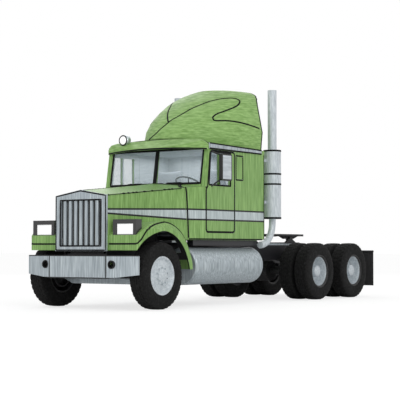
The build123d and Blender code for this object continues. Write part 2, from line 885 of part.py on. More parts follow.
with BuildPart() as windshield_glass:
    with BuildSketch(Plane.XZ.offset(-screen_half_width)):
        glass_front_foot = screen_station(screen_bottom, 20, 8)
        glass_front_head = screen_station(screen_top, 20, 8)
        with BuildLine():
            Polyline(
                (at(glass_front_foot), screen_bottom),
                (at(glass_front_head), screen_top),
                (at(glass_front_head - glass_thickness), screen_top),
                (at(glass_front_foot - glass_thickness), screen_bottom),
                close=True,
            )
        make_face()
    extrude(amount=2 * screen_half_width)
    with Locations((at(screen_foot), 0, (screen_bottom + screen_top) / 2)):
        Box(400, divider_width, screen_top - screen_bottom + 100, mode=Mode.SUBTRACT)
keep(windshield_glass, "windshield_glass")

# Dashboard, steering wheel, seats and bunk
wheel_y = 455
dash_half_width = 900
dash_top = 1925
with BuildPart() as dashboard:
    with BuildSketch(Plane.XZ.offset(-dash_half_width)):
        with BuildLine():
            Polyline(
                (at(firewall_station), 1500),
                (at(firewall_station), 1870),
                (at(-1260), dash_top),
                (at(-1400), dash_top),
                (at(-1440), 1700),
                (at(-1340), 1560),
                close=True,
            )
        make_face()
    extrude(amount=2 * dash_half_width)
keep(dashboard, "dashboard")

steering_radius = 240
steering_rim_width = 30
steering_hub_radius = 40
steering_spokes = (90, 210, 330)
column_radius = 28
column_plane = Plane(origin=(at(-1640), wheel_y, 2020), z_dir=(-0.5, 0, 0.866))
with BuildPart() as steering_wheel:
    with BuildSketch(column_plane.offset(-steering_rim_width / 2)):
        Circle(steering_radius)
        Circle(steering_radius - steering_rim_width, mode=Mode.SUBTRACT)
    extrude(amount=steering_rim_width)
    with BuildSketch(column_plane.offset(-40)):
        Circle(steering_hub_radius)
    extrude(amount=50)
    for angle in steering_spokes:
        with BuildSketch(column_plane.offset(-14)):
            with Locations(Location((0, 0), angle)):
                with Locations(((steering_radius - 10) / 2, 0)):
                    Rectangle(steering_radius - 10, 28)
        extrude(amount=16)
    with BuildSketch(column_plane.offset(-300)):
        Circle(column_radius)
    extrude(amount=262)
    add(dashboard.part, mode=Mode.SUBTRACT)
keep(steering_wheel, "steering_wheel")

seat_y = 480
cushion_width = 520
bunk_length = 580
bunk_height = 500
with BuildPart() as seats:
    for name, side in SIDES:
        with Locations((at(-2030), side * seat_y, floor_top + 170)):
            Box(440, 440, 340)
        with Locations((at(-1990), side * seat_y, floor_top + 400)):
            Box(cushion_width, cushion_width, 120)
        with BuildSketch(Plane.XZ.offset(-side * seat_y - cushion_width / 2 + 10)):
            with BuildLine():
                Polyline(
                    (at(-2120), floor_top + 450),
                    (at(-2250), floor_top + 460),
                    (at(-2330), floor_top + 1180),
                    (at(-2230), floor_top + 1180),
                    close=True,
                )
            make_face()
        extrude(amount=cushion_width - 20)
    with Locations((at(-2720), 0, floor_top + bunk_height / 2)):
        Box(bunk_length, 1960, bunk_height)
keep(seats, "seats")

# Spot lamp that stands on the visor
roof_lamp_y = -667
roof_lamp_z = 2785
roof_lamp_rear = -1370
roof_lamp_radius = 92
roof_lamp_body = 70
with BuildPart() as roof_lamp:
    lamp_axis = Plane(origin=(at(roof_lamp_rear), roof_lamp_y, roof_lamp_z), x_dir=(0, 1, 0), z_dir=(1, 0, 0))
    with BuildSketch(lamp_axis):
        Circle(roof_lamp_radius)
    extrude(amount=roof_lamp_body)
    with BuildSketch(lamp_axis.offset(roof_lamp_body)):
        Circle(roof_lamp_radius)
    extrude(amount=30, taper=35)
    with Locations((at(roof_lamp_rear) + roof_lamp_body / 2, roof_lamp_y, roof_lamp_z - 95)):
        Cylinder(22, 120)
    add(visor.part, mode=Mode.SUBTRACT)
keep(roof_lamp, "roof_lamp")


# Hood with its fenders
def fender_outline(inset):
    """Side view of a fender's outer crease, set inwards by an inset."""
    rear = at(fender_rear + inset)
    front = at(fender_front - inset)
    crown = fender_crown - inset
    with BuildSketch(Plane.XZ) as outline:
        with BuildLine():
            ThreePointArc((rear, 760), (at(-600) + inset * 0.6, 1145 - inset * 0.8), (at(-100), crown))
            ThreePointArc((at(-100), crown), (at(281), 1297 - inset), (front, 1140 - inset))
            Polyline((front, 1140 - inset), (front, 400), (rear, 400), (rear, 760))
        make_face()
    return outline.sketch.face()


def arch_outline():
    """Side view of the wheel arch."""
    with BuildSketch(Plane.XZ) as outline:
        with BuildLine():
            ThreePointArc((at(arch_rear), 612), (at(-472), 982), (at(-20), arch_crown))
            ThreePointArc((at(-20), arch_crown), (at(300), 1135), (at(550), 905))
            Polyline((at(550), 905), (at(550), 300), (at(arch_rear), 300), (at(arch_rear), 612))
        make_face()
    return outline.sketch.face()


def lip_outline(inset):
    """Side view of the fender's outer lip, set inwards by an inset."""
    rear = at(arch_rear - 75 + inset)
    front = at(fender_front - 25 - inset)
    crown = arch_crown + 45 - inset
    with BuildSketch(Plane.XZ) as outline:
        with BuildLine():
            ThreePointArc((rear, 700), (at(-530) + inset * 0.6, 1035 - inset * 0.8), (at(-40), crown))
            ThreePointArc((at(-40), crown), (at(281), 1195 - inset), (front, 1030 - inset))
            Polyline((front, 1030 - inset), (front, 400), (rear, 400), (rear, 700))
        make_face()
    return outline.sketch.face()


def at_side(face, y):
    """A side view face moved to a distance from the middle."""
    return face.moved(Location((0, y, 0)))


def fender_corner(side, inset):
    """The wedge that tapers a fender's outer face towards its front, set inwards by an inset."""
    with BuildPart() as wedge:
        with BuildSketch(Plane.XY.offset(fender_rear_bottom - 100)):
            with BuildLine():
                Polyline(
                    (at(fender_front + 20), side * (fender_nose_y - inset)),
                    (at(fender_front + 20), side * (fender_lip_y + 100)),
                    (at(fender_nose_start), side * (fender_lip_y + 100)),
                    (at(fender_nose_start), side * (fender_lip_y - inset)),
                    close=True,
                )
            make_face()
        extrude(amount=1000)
    return wedge.part


def fender_hollow(side):
    """The space inside a fender's wall."""
    inner_face = at_side(fender_outline(fender_wall), side * fender_crease_y)
    inner_lip = at_side(lip_outline(fender_wall), side * (fender_lip_y - fender_wall))
    with BuildPart() as hollow:
        extrude(inner_face, amount=fender_crease_y - arch_inner_y, dir=(0, -side, 0))
        loft(sections=[inner_face, inner_lip], ruled=True)
        add(fender_corner(side, fender_wall), mode=Mode.SUBTRACT)
    return hollow.part


with BuildPart() as hood:
    add(nose_outer)
    add(hood_plan(0), mode=Mode.INTERSECT)
    for name, side in SIDES:
        crease_face = at_side(fender_outline(0), side * fender_crease_y)
        extrude(crease_face, amount=fender_crease_y - fender_inner_y, dir=(0, -side, 0))
        loft(sections=[crease_face, at_side(lip_outline(0), side * fender_lip_y)], ruled=True)
        add(fender_corner(side, 0), mode=Mode.SUBTRACT)
    add(nose_hollow, mode=Mode.SUBTRACT)
    for name, side in SIDES:
        add(fender_hollow(side), mode=Mode.SUBTRACT)
        arch_face = at_side(arch_outline(), side * arch_inner_y)
        extrude(arch_face, amount=900, dir=(0, side, 0), mode=Mode.SUBTRACT)
        with Locations((at((fender_front + fender_rear) / 2), side * 900, fender_rear_bottom - 200)):
            Box(1600, 1000, 400, mode=Mode.SUBTRACT)
        with Locations((at(lamp_station), side * lamp_middle_y, lamp_middle_z)):
            Box(lamp_depth, lamp_width, lamp_height, mode=Mode.SUBTRACT)
keep(hood, "hood")

# Grille: a peaked bright surround with upright bars
with BuildPart() as grille_surround:
    with BuildSketch(Plane.YZ.offset(at(grille_back))):
        with BuildLine():
            Polyline(
                (-grille_half_width, grille_bottom),
                (grille_half_width, grille_bottom),
                (grille_half_width, grille_corner),
                (0, grille_peak),
                (-grille_half_width, grille_corner),
                close=True,
            )
        make_face()
        with Locations((0, (grille_opening_bottom + grille_opening_top) / 2)):
            Rectangle(2 * grille_opening_half, grille_opening_top - grille_opening_bottom, mode=Mode.SUBTRACT)
    extrude(amount=grille_face - grille_back)
keep(grille_surround, "grille_surround")

grille_bar_pitch = 2 * grille_opening_half / (grille_bar_count + 0.5)
with BuildPart() as grille_bars:
    bar_height = grille_opening_top - grille_opening_bottom
    with Locations((at(grille_face - 8 - grille_bar_depth / 2), 0, grille_opening_bottom + bar_height / 2)):
        with GridLocations(1, grille_bar_pitch, 1, grille_bar_count):
            Box(grille_bar_depth, grille_bar_width, bar_height)
keep(grille_bars, "grille_bars")

# Headlamps: a dark housing with a recessed lens
with BuildPart() as headlamps:
    for name, side in SIDES:
        with Locations((at(lamp_station), side * lamp_middle_y, lamp_middle_z)):
            Box(lamp_depth, lamp_width, lamp_height)
        with Locations((at(lamp_face), side * lamp_middle_y, lamp_middle_z)):
            Box(2 * lens_depth, lamp_width - 2 * lamp_rim, lamp_height - 2 * lamp_rim, mode=Mode.SUBTRACT)
keep(headlamps, "headlamps")

# Doors with their glass, and the mirror
mirror_y = 1188
mirror_front = -1515
mirror_rear = -1805
mirror_bottom = 2055
mirror_top = 2495
mirror_half_thickness = 32
strut_radius = 14


def window_prism(side, inner, outer):
    """A door window's outline through a slab."""
    with BuildPart() as prism:
        with BuildSketch(side_plane(side, inner, outer)):
            with BuildLine():
                Polyline(
                    (at(window_front_foot), window_bottom),
                    (at(window_front_head), window_top),
                    (at(window_rear), window_top),
                    (at(window_rear), window_bottom),
                    close=True,
                )
            make_face()
            with Locations((at(window_divider), (window_bottom + window_top) / 2)):
                Rectangle(window_divider_width, window_top - window_bottom, mode=Mode.SUBTRACT)
        extrude(amount=outer - inner)
    return prism.part


def rod(start, end, radius):
    """A round rod between two points."""
    start, end = Vector(*start), Vector(*end)
    with BuildPart() as bar:
        with BuildSketch(Plane(origin=start, z_dir=end - start)):
            Circle(radius)
        extrude(amount=(end - start).length)
    return bar.part


for name, side in SIDES:
    door_inner = cab_half_width - cab_wall
    with BuildPart() as door:
        add(door_prism(side, 0, door_inner, cab_half_width))
        add(window_prism(side, door_inner - 1, cab_half_width + 1), mode=Mode.SUBTRACT)
    keep(door, f"door_{name}")

    with BuildPart() as door_glass:
        add(window_prism(side, cab_half_width - 28, cab_half_width - 28 + glass_thickness))
    keep(door_glass, f"door_glass_{name}")

# The driver's mirror, on two rods from the door
with BuildPart() as mirror_left:
    with BuildSketch(side_plane(1, mirror_y - mirror_half_thickness, mirror_y + mirror_half_thickness)):
        with Locations((at((mirror_front + mirror_rear) / 2), (mirror_bottom + mirror_top) / 2)):
            RectangleRounded(mirror_front - mirror_rear, mirror_top - mirror_bottom, 30)
    extrude(amount=2 * mirror_half_thickness)
    for foot, head in ((1955, mirror_bottom + 85), (2540, mirror_top - 50)):
        add(rod((at(-1450), cab_half_width - 10, foot), (at(-1660), mirror_y, head), strut_radius))
    add(door_prism(1, 60, cab_half_width - 200, cab_half_width), mode=Mode.SUBTRACT)
keep(mirror_left, "mirror_left")

# Steering knuckles: a fork round the beam's eye, its kingpin and the wheel spindle
fork_inner = eye_radius + 8
fork_wall = 26
lug_height = 34
backing_radius = 180
backing_thickness = 8
fork_width = 90
fork_half_gap = eye_height / 2 + 2
fork_height = 2 * (fork_half_gap + lug_height)
spindle_length = 92
for name, side in SIDES:
    with BuildPart() as knuckle:
        lug_length = fork_inner + fork_wall + fork_width / 2
        lug_y = side * (kingpin_y + (fork_inner + fork_wall - fork_width / 2) / 2)
        for up in (1, -1):
            with Locations((at(0), lug_y, wheel_height + up * (fork_half_gap + lug_height / 2))):
                Box(fork_width, lug_length, lug_height)
        with Locations((at(0), side * (kingpin_y + fork_inner + fork_wall / 2), wheel_height)):
            Box(fork_width, fork_wall, fork_height)
        with Locations((at(0), side * kingpin_y, wheel_height)):
            Cylinder(kingpin_radius, fork_height)
        plate_y = side * (kingpin_y + fork_inner + backing_thickness / 2 + 2)
        with Locations(Location((at(0), plate_y, wheel_height), (90, 0, 0))):
            Cylinder(backing_radius, backing_thickness)
        spindle_start = kingpin_y + fork_inner + fork_wall
        spindle_y = side * (spindle_start + spindle_length / 2)
        with Locations(Location((at(0), spindle_y, wheel_height), (90, 0, 0))):
            Cylinder(spindle_radius, spindle_length)
    keep(knuckle, f"knuckle_{name}")


# Wheels: rims with their hubs, and tyres. Each form is made once round its own axis, with its outer
# face towards +Y, and copied to its axle.
wheel_sides = 48
level_turn = 180 / wheel_sides


def flat_disc(radius, bore, start_y, end_y):
    """A disc or ring round the Y axis with flat sides, one of them level at the ground."""
    with BuildPart() as body:
        with BuildSketch(Plane.XZ.offset(-end_y)):
            RegularPolygon(radius, wheel_sides, major_radius=False, rotation=level_turn)
            if bore:
                RegularPolygon(bore, wheel_sides, major_radius=False, rotation=level_turn, mode=Mode.SUBTRACT)
        extrude(amount=end_y - start_y)
    return body.part


def on_axle(form, station, middle_y, side):
    """A wheel form on its axle, turned round for the right side."""
    turn = 0 if side > 0 else 180
    return form.moved(Location((at(station), side * middle_y, wheel_height), (0, 0, turn)))


shoulder = 36
with BuildPart() as tyre_form:
    add(flat_disc(tyre_radius, bead_radius, -tyre_width / 2, tyre_width / 2))
    tread_edges = tyre_form.edges().filter_by(Axis.Y, reverse=True)
    chamfer(tread_edges.filter_by(lambda edge: edge.length > tyre_radius / 10), length=shoulder)

rim_edge = 132
front_disc_y = 50
front_disc_height = 60
front_disc_edge = 24
front_hub_end = rim_edge + 14
front_hub_radius = 112
front_hub_start = kingpin_y + fork_inner + fork_wall + gap - front_track_y
spindle_reach = 92
drum_radius = 205
drum_start = -116
with BuildPart() as front_rim_form:
    add(flat_disc(rim_radius, barrel_radius, -rim_edge, rim_edge))
    with BuildPart(mode=Mode.PRIVATE) as front_disc:
        add(flat_disc(barrel_radius + 1, 0, front_disc_y, front_disc_y + front_disc_height))
        disc_face = front_disc.faces().sort_by(Axis.Y)[-1]
        chamfer(
            disc_face.edges(),
            length=barrel_radius - front_hub_radius - 20,
            length2=front_disc_height - front_disc_edge,
            reference=disc_face,
        )
    add(front_disc.part)
    add(flat_disc(drum_radius, drum_radius - 18, drum_start, front_disc_y + 2))
    add(flat_disc(front_hub_radius, 0, front_hub_start, front_hub_end))
    bore_length = spindle_reach - front_hub_start + 2
    with Locations(Location((0, spindle_reach - bore_length / 2, 0), (90, 0, 0))):
        Cylinder(spindle_radius + pin_clearance, bore_length, mode=Mode.SUBTRACT)

dual_middle = (dual_outer_y + dual_inner_y) / 2
dual_edge = dual_outer_y - dual_middle + rim_edge
drive_hub_radius = 112
drive_hub_start = -119
drive_hub_end = dual_edge - 26
drive_spindle_reach = 137
drive_disc_start = -12
drive_disc_end = 10
with BuildPart() as drive_rim_form:
    add(flat_disc(rim_radius, barrel_radius, -dual_edge, dual_edge))
    add(flat_disc(barrel_radius + 1, 0, drive_disc_start, drive_disc_end))
    add(flat_disc(drive_hub_radius, 0, drive_hub_start, drive_hub_end))
    bore_length = drive_spindle_reach - drive_hub_start + 2
    with Locations(Location((0, drive_spindle_reach - bore_length / 2, 0), (90, 0, 0))):
        Cylinder(drive_spindle_radius + pin_clearance, bore_length, mode=Mode.SUBTRACT)

for name, side in SIDES:
    with BuildPart() as front_tyre:
        add(on_axle(tyre_form.part, 0, front_track_y, side))
    keep(front_tyre, f"front_tyre_{name}")
    with BuildPart() as front_rim:
        add(on_axle(front_rim_form.part, 0, front_track_y, side))
    keep(front_rim, f"front_rim_{name}")

for place, station in (("fore", fore_drive_station), ("aft", aft_drive_station)):
    for name, side in SIDES:
        with BuildPart() as dual_tyres:
            add(on_axle(tyre_form.part, station, dual_outer_y, side))
            add(on_axle(tyre_form.part, station, dual_inner_y, side))
        keep(dual_tyres, f"{place}_tyres_{name}")
        with BuildPart() as dual_rim:
            add(on_axle(drive_rim_form.part, station, dual_middle, side))
        keep(dual_rim, f"{place}_rim_{name}")
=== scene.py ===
import cmath
import math

import bmesh
import bpy
from mathutils import Matrix, Vector
from mathutils.bvhtree import BVHTree


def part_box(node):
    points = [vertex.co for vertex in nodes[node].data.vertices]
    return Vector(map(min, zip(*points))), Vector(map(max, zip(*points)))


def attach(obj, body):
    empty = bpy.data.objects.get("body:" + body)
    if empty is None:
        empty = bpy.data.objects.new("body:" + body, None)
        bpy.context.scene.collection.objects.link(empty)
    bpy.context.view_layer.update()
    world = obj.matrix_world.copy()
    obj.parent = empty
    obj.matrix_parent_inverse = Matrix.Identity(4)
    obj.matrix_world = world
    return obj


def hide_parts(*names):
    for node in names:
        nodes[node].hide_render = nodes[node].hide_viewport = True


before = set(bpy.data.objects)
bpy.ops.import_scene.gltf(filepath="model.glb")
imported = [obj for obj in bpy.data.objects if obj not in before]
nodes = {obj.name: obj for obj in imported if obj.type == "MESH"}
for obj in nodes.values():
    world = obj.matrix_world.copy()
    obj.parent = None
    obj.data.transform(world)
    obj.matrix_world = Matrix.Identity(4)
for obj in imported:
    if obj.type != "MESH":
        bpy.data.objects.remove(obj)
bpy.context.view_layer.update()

# Metres. +X is forward, +Y the driver's left, +Z up. Stations are measured forward from the front axle.
front_axle_x = (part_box("front_tyre_left")[0].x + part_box("front_tyre_left")[1].x) / 2
wheel_height = 0.521
SIDES = (("left", 1), ("right", -1))


def at(station):
    """X of a station that is measured forward from the front axle."""
    return front_axle_x + station


# Colours as they show on a screen, 0 to 255. Tones are a dark, a middle and a light colour.
BLACK = (17, 17, 18)
BLACK_LIGHT = (36, 36, 38)
green_tones = ((98, 138, 68), (124, 162, 90), (148, 188, 112))
roof_tones = ((112, 150, 80), (137, 174, 102), (160, 198, 124))
silver_tones = ((138, 147, 152), (164, 174, 180), (196, 205, 208))
stripe_tones = ((160, 172, 174), (176, 187, 189), (206, 215, 216))
trim_tones = ((196, 204, 208), (208, 215, 219), (220, 226, 230))
# Pale streaked layer over the glass: a painted reflection.
painted_reflection_tones = ((168, 178, 184), (176, 186, 192), (196, 204, 209))
pane_tones = ((170, 179, 185), (186, 194, 200), (204, 211, 216))
black_tones = (BLACK, BLACK, BLACK_LIGHT)
# Near black painted shade for the hood's faces that look down, inwards or back.
hood_shade_tones = (BLACK, (28, 28, 29), BLACK_LIGHT)


def linear(colour):
    """A screen colour as the linear RGBA that Blender's shaders take."""
    channels = []
    for value in colour:
        share = value / 255
        channels.append(share / 12.92 if share <= 0.04045 else ((share + 0.055) / 1.055) ** 2.4)
    return (*channels, 1.0)


# Materials


class Graph:
    """Small helper round a material's node tree."""

    def __init__(self, name):
        self.material = bpy.data.materials.new(name)
        self.material.use_nodes = True
        self.tree = self.material.node_tree
        self.shader = self.tree.nodes["Principled BSDF"]
        coordinates = self.node("ShaderNodeTexCoord")
        self.place = coordinates.outputs["Object"]
        self.facing = coordinates.outputs["Normal"]

    def node(self, kind, **settings):
        made = self.tree.nodes.new(kind)
        for key, value in settings.items():
            setattr(made, key, value)
        return made

    def link(self, output, target):
        self.tree.links.new(output, target)

    def axes(self, vector):
        """The X, Y and Z outputs of a vector."""
        split = self.node("ShaderNodeSeparateXYZ")
        self.link(vector, split.inputs[0])
        return tuple(split.outputs)

    def math(self, operation, *values):
        made = self.node("ShaderNodeMath", operation=operation)
        for socket, value in zip(made.inputs, values):
            if isinstance(value, (int, float)):
                socket.default_value = value
            else:
                self.link(value, socket)
        return made.outputs[0]

    def chain(self, operation, first, *others):
        """One operation over several values in turn."""
        for other in others:
            first = self.math(operation, first, other)
        return first

    def within(self, value, limits):
        """1 where a value lies between two limits."""
        above = self.math("GREATER_THAN", value, limits[0])
        return self.math("MULTIPLY", above, self.math("LESS_THAN", value, limits[1]))

    def noise(self, scale):
        """A cloudy pattern, stretched by a scale along X, Y and Z."""
        mapping = self.node("ShaderNodeMapping")
        mapping.inputs["Scale"].default_value = scale
        self.link(self.place, mapping.inputs["Vector"])
        texture = self.node("ShaderNodeTexNoise")
        texture.inputs["Scale"].default_value = 1.0
        texture.inputs["Detail"].default_value = 3.0
        texture.inputs["Roughness"].default_value = 0.6
        self.link(mapping.outputs[0], texture.inputs["Vector"])
        return texture.outputs[0]

    def ramp(self, value, stops):
        ramp = self.node("ShaderNodeValToRGB")
        elements = ramp.color_ramp.elements
        while len(elements) < len(stops):
            elements.new(0.5)
        for element, (position, colour) in zip(elements, stops):
            element.position = position
            element.color = linear(colour)
        self.link(value, ramp.inputs[0])
        return ramp.outputs[0]

    def spread(self, value, low, high, source=(0.3, 0.7)):
        """A value spread from its source limits to low and high."""
        made = self.node("ShaderNodeMapRange")
        made.inputs["From Min"].default_value = source[0]
        made.inputs["From Max"].default_value = source[1]
        made.inputs["To Min"].default_value = low
        made.inputs["To Max"].default_value = high
        self.link(value, made.inputs["Value"])
        return made.outputs[0]

    def mix(self, share, first, second):
        made = self.node("ShaderNodeMix", data_type="RGBA")
        self.link(share, made.inputs[0])
        for socket, value in ((made.inputs[6], first), (made.inputs[7], second)):
            if isinstance(value, tuple):
                socket.default_value = linear(value)
            else:
                self.link(value, socket)
        return made.outputs[2]

    def paint(self, colour):
        self.link(colour, self.shader.inputs["Base Color"])

    def repaint(self, share, colour):
        """Lays another colour over the one that is there, by a share from 0 to 1."""
        there = self.shader.inputs["Base Color"].links[0].from_socket
        self.paint(self.mix(share, there, colour))

    def blend(self, share, first, second):
        """A surface that goes from one shader to another by a share from 0 to 1."""
        made = self.node("ShaderNodeMixShader")
        for socket, value in zip(made.inputs, (share, first.outputs[0], second.outputs[0])):
            self.link(value, socket)
        self.link(made.outputs[0], self.tree.nodes["Material Output"].inputs["Surface"])

    def bump(self, height, distance, strength=1.0):
        made = self.node("ShaderNodeBump")
        made.inputs["Distance"].default_value = distance
        made.inputs["Strength"].default_value = strength
        self.link(height, made.inputs["Height"])
        self.link(made.outputs[0], self.shader.inputs["Normal"])

    def set(self, **values):
        for key, value in values.items():
            self.shader.inputs[key.replace("_", " ")].default_value = value


def stops(tones, positions=(0.3, 0.5, 0.7)):
    """Ramp stops for a dark, a middle and a light tone. The noise lies mostly between 0.3 and 0.7."""
    return tuple(zip(positions, tones))


def toned(name, tones, grain, roughness, metallic=0.0, bump=0.0, **settings):
    """A material whose colour and roughness run from dark to light tones along a stretched grain."""
    graph = Graph(name)
    pattern = graph.noise(grain)
    graph.paint(graph.ramp(pattern, stops(tones, (0.3, 0.5, 0.72))))
    graph.link(graph.spread(pattern, *roughness), graph.shader.inputs["Roughness"])
    graph.set(Metallic=metallic, **settings)
    if bump:
        graph.bump(pattern, bump)
    return graph


upright_grain = (42.0, 42.0, 2.2)

# Side stripe: heights of its lower and upper edges at the front of the hood and from the cab rearwards
stripe_front = at(0.56)
stripe_cab = at(-0.85)
stripe_low = (1.480, 1.408)
stripe_high = (1.546, 1.572)
stripe_line = 0.014


def striped(graph, pattern, along, up, sideways, colour):
    """Lays the silver side stripe with its black edge lines over a colour."""
    edges = []
    for front, cab in (stripe_low, stripe_high):
        edges.append(graph.spread(along, cab, front, (stripe_cab, stripe_front)))
    band = graph.within(up, edges)
    gaps = [graph.math("ABSOLUTE", graph.math("SUBTRACT", up, edge)) for edge in edges]
    line = graph.math("LESS_THAN", graph.math("MINIMUM", *gaps), stripe_line)
    silver = graph.ramp(pattern, stops(stripe_tones))
    colour = graph.mix(graph.math("MULTIPLY", band, sideways), colour, silver)
    return graph.mix(graph.math("MULTIPLY", line, sideways), colour, BLACK)


def body_paint(name, inside, trim_and_shade_tones):
    """Green paint with the side stripe. inside marks the faces that get other tones: painted shade on the
    hood, the trim's own colour in the cab.
    """
    graph = Graph(name)
    pattern = graph.noise(upright_grain)
    place = graph.axes(graph.place)
    facing = graph.axes(graph.facing)
    sideways = graph.math("GREATER_THAN", graph.math("ABSOLUTE", facing[1]), 0.45)
    green = graph.ramp(pattern, stops(green_tones))
    graph.paint(striped(graph, pattern, place[0], place[2], sideways, green))
    # On the hood this lays near black painted shade on faces that look down, inwards or back; in the cab it
    # gives the trim its own colour.
    graph.repaint(inside(graph, place, facing), graph.ramp(pattern, stops(trim_and_shade_tones)))
    graph.link(graph.spread(pattern, 0.5, 0.38), graph.shader.inputs["Roughness"])
    graph.set(Coat_Weight=0.12, Coat_Roughness=0.3, Specular_IOR_Level=0.3)
    graph.bump(pattern, 0.0012, 0.5)


cabin_middle = (at(-2.1), 0.0, 1.9)


def cab_inside(graph, place, facing):
    """Faces of the cab that look towards its middle."""
    marks = []
    for value, middle, normal in zip(place, cabin_middle, facing):
        side = graph.math("SIGN", graph.math("SUBTRACT", value, middle))
        marks.append(graph.math("LESS_THAN", graph.math("MULTIPLY", side, normal), -0.5))
    return graph.chain("MAXIMUM", *marks)


def hood_shaded_faces(graph, place, facing):
    """Faces of the hood that look down, inwards or back, which get near black painted shade."""
    across = graph.math("MULTIPLY", graph.math("SIGN", place[1]), facing[1])
    inwards = graph.math("LESS_THAN", across, -0.3)
    down = graph.math("LESS_THAN", facing[2], -0.05)
    back = graph.math("LESS_THAN", facing[0], -0.8)
    return graph.chain("MAXIMUM", inwards, down, back)


# Bumper: heights between its edge lines, place of a bend line, middle of a tow bore and radius of the
# painted shade round it
bumper_clear = (0.497, 0.821)
bumper_bend = (0.565, 0.587)
tow_bore = (0.670, 0.695)
tow_shade_radius = 0.064


def bumper_metal():
    """Silver with black lines at the edges and bends, and black painted shade round the tow bores."""
    graph = toned("bumper_metal", silver_tones, upright_grain, (0.5, 0.36), metallic=0.3, bump=0.0008)
    _, across, up = graph.axes(graph.place)
    out = graph.math("ABSOLUTE", across)
    bend = graph.within(out, bumper_bend)
    edge = graph.math("SUBTRACT", 1.0, graph.within(up, bumper_clear))
    squares = []
    for value, middle in zip((out, up), tow_bore):
        away = graph.math("ABSOLUTE", graph.math("SUBTRACT", value, middle))
        squares.append(graph.math("POWER", away, 2.0))
    # A black disc of painted shade round each tow bore.
    bore_shade = graph.math("LESS_THAN", graph.math("ADD", *squares), tow_shade_radius * tow_shade_radius)
    graph.repaint(graph.chain("MAXIMUM", bend, edge, bore_shade), BLACK)


mirror_stations = (at(-1.782), at(-1.538))
mirror_heights = (2.080, 2.470)


def mirror_body():
    """Black housing with a silver-grey face inside its rim."""
    graph = toned("mirror_body", black_tones, (40, 40, 40), (0.5, 0.35), bump=0.0004)
    along, _, up = graph.axes(graph.place)
    sideways = graph.math("GREATER_THAN", graph.math("ABSOLUTE", graph.axes(graph.facing)[1]), 0.8)
    inside = (graph.within(along, mirror_stations), graph.within(up, mirror_heights))
    face = graph.chain("MULTIPLY", *inside, sideways)
    graph.repaint(face, graph.ramp(graph.noise((3, 3, 24)), stops(pane_tones)))


def glazing(name, painted_reflection_share):
    """Lightly tinted glass: mostly clear, with a pale streaked painted reflection over it and a polished
    surface.
    """
    graph = Graph(name)
    pattern = graph.noise((2.5, 3.5, 60.0))
    # The pale streaked colour is a painted reflection laid over the clear glass.
    graph.paint(graph.ramp(pattern, stops(painted_reflection_tones)))
    graph.link(graph.spread(pattern, 0.12, 0.05), graph.shader.inputs["Roughness"])
    graph.set(Specular_IOR_Level=0.3)
    clear = graph.node("ShaderNodeBsdfTransparent")
    clear.inputs["Color"].default_value = (0.97, 0.98, 0.985, 1)
    graph.blend(graph.spread(pattern, *painted_reflection_share), clear, graph.shader)


toned("roof_paint", roof_tones, (7, 7, 36), (0.56, 0.44), bump=0.0012, Specular_IOR_Level=0.25)
toned("brushed_silver", silver_tones, upright_grain, (0.5, 0.34), metallic=0.35, bump=0.0008)
toned(
    "exhaust_silver", ((176, 184, 189), (196, 204, 209), (216, 222, 225)), (42, 42, 8), (0.5, 0.36),
    metallic=0.15, bump=0.0006,
)
toned(
    "rim_silver", ((172, 181, 187), (190, 198, 203), (212, 218, 222)), (30, 30, 30), (0.5, 0.36),
    metallic=0.15, bump=0.0005,
)
toned("polished_metal", (*silver_tones[1:], (222, 228, 230)), (14, 14, 14), (0.34, 0.22), metallic=0.6)
toned(
    "cast_metal", (BLACK, (36, 36, 37), (58, 58, 60)), (60, 60, 60), (0.75, 0.55),
    metallic=0.2, bump=0.002,
)
toned(
    "tyre_rubber", ((12, 12, 12), (17, 17, 17), (30, 30, 30)), (30, 30, 30), (0.95, 0.8),
    bump=0.001, Specular_IOR_Level=0.25,
)
toned("flap_rubber", (BLACK, (30, 30, 31), (42, 42, 43)), (6, 60, 6), (0.85, 0.7), bump=0.001)
toned(
    "seal_rubber", ((10, 10, 11), (13, 13, 14), (26, 26, 27)), (80, 80, 80), (0.85, 0.7),
    bump=0.0004, Specular_IOR_Level=0.2,
)
toned(
    "grained_plastic", ((54, 56, 58), (64, 66, 69), (78, 80, 83)), (220, 220, 220), (0.7, 0.5),
    bump=0.0006,
)
toned(
    "woven_fabric", ((150, 158, 164), (166, 174, 180), (184, 191, 196)), (260, 260, 260), (0.95, 0.85),
    bump=0.002, Sheen_Weight=0.4,
)
toned(
    "lamp_lens", ((228, 228, 230), (236, 236, 236), (248, 248, 248)), (60, 60, 4), (0.3, 0.2),
    bump=0.0008, Emission_Color=(1, 1, 1, 1), Emission_Strength=0.35,
)
toned("wheel_black", (BLACK, (30, 30, 31), (46, 46, 48)), (22, 22, 22), (0.6, 0.45), bump=0.0006)
body_paint("hood_paint", hood_shaded_faces, hood_shade_tones)
body_paint("cab_paint", cab_inside, trim_tones)
bumper_metal()
mirror_body()
glazing("screen_glass", (0.16, 0.24))
glazing("door_pane", (0.10, 0.16))

# The frame brings chassis_paint and lamp_housing along. Nodes that aren't listed keep its materials.
NODE_MATERIALS = {
    "hood_paint": ("hood",),
    "cab_paint": ("cab_front", "cab_sides", "door_left", "door_right", "sleeper_back", "cab_roof"),
    "roof_paint": ("roof_fairing", "visor"),
    "brushed_silver": (
        "fuel_tanks", "grille_surround", "grille_bars", "deck_plate", "roof_rails", "front_axle",
    ),
    "bumper_metal": ("bumper",),
    "exhaust_silver": ("exhaust_stacks",),
    "mirror_body": ("mirror_left",),
    "polished_metal": ("roof_lamp",),
    "chassis_paint": ("cab_floor",),
    "cast_metal": (
        "drive_axles", "engine", "coupling_bracket", "coupling_plate", "knuckle_left", "knuckle_right",
    ),
    "flap_rubber": ("mudflaps",),
    "grained_plastic": ("dashboard", "steering_wheel"),
    "screen_glass": ("windshield_glass",),
    "door_pane": ("door_glass_left", "door_glass_right"),
}


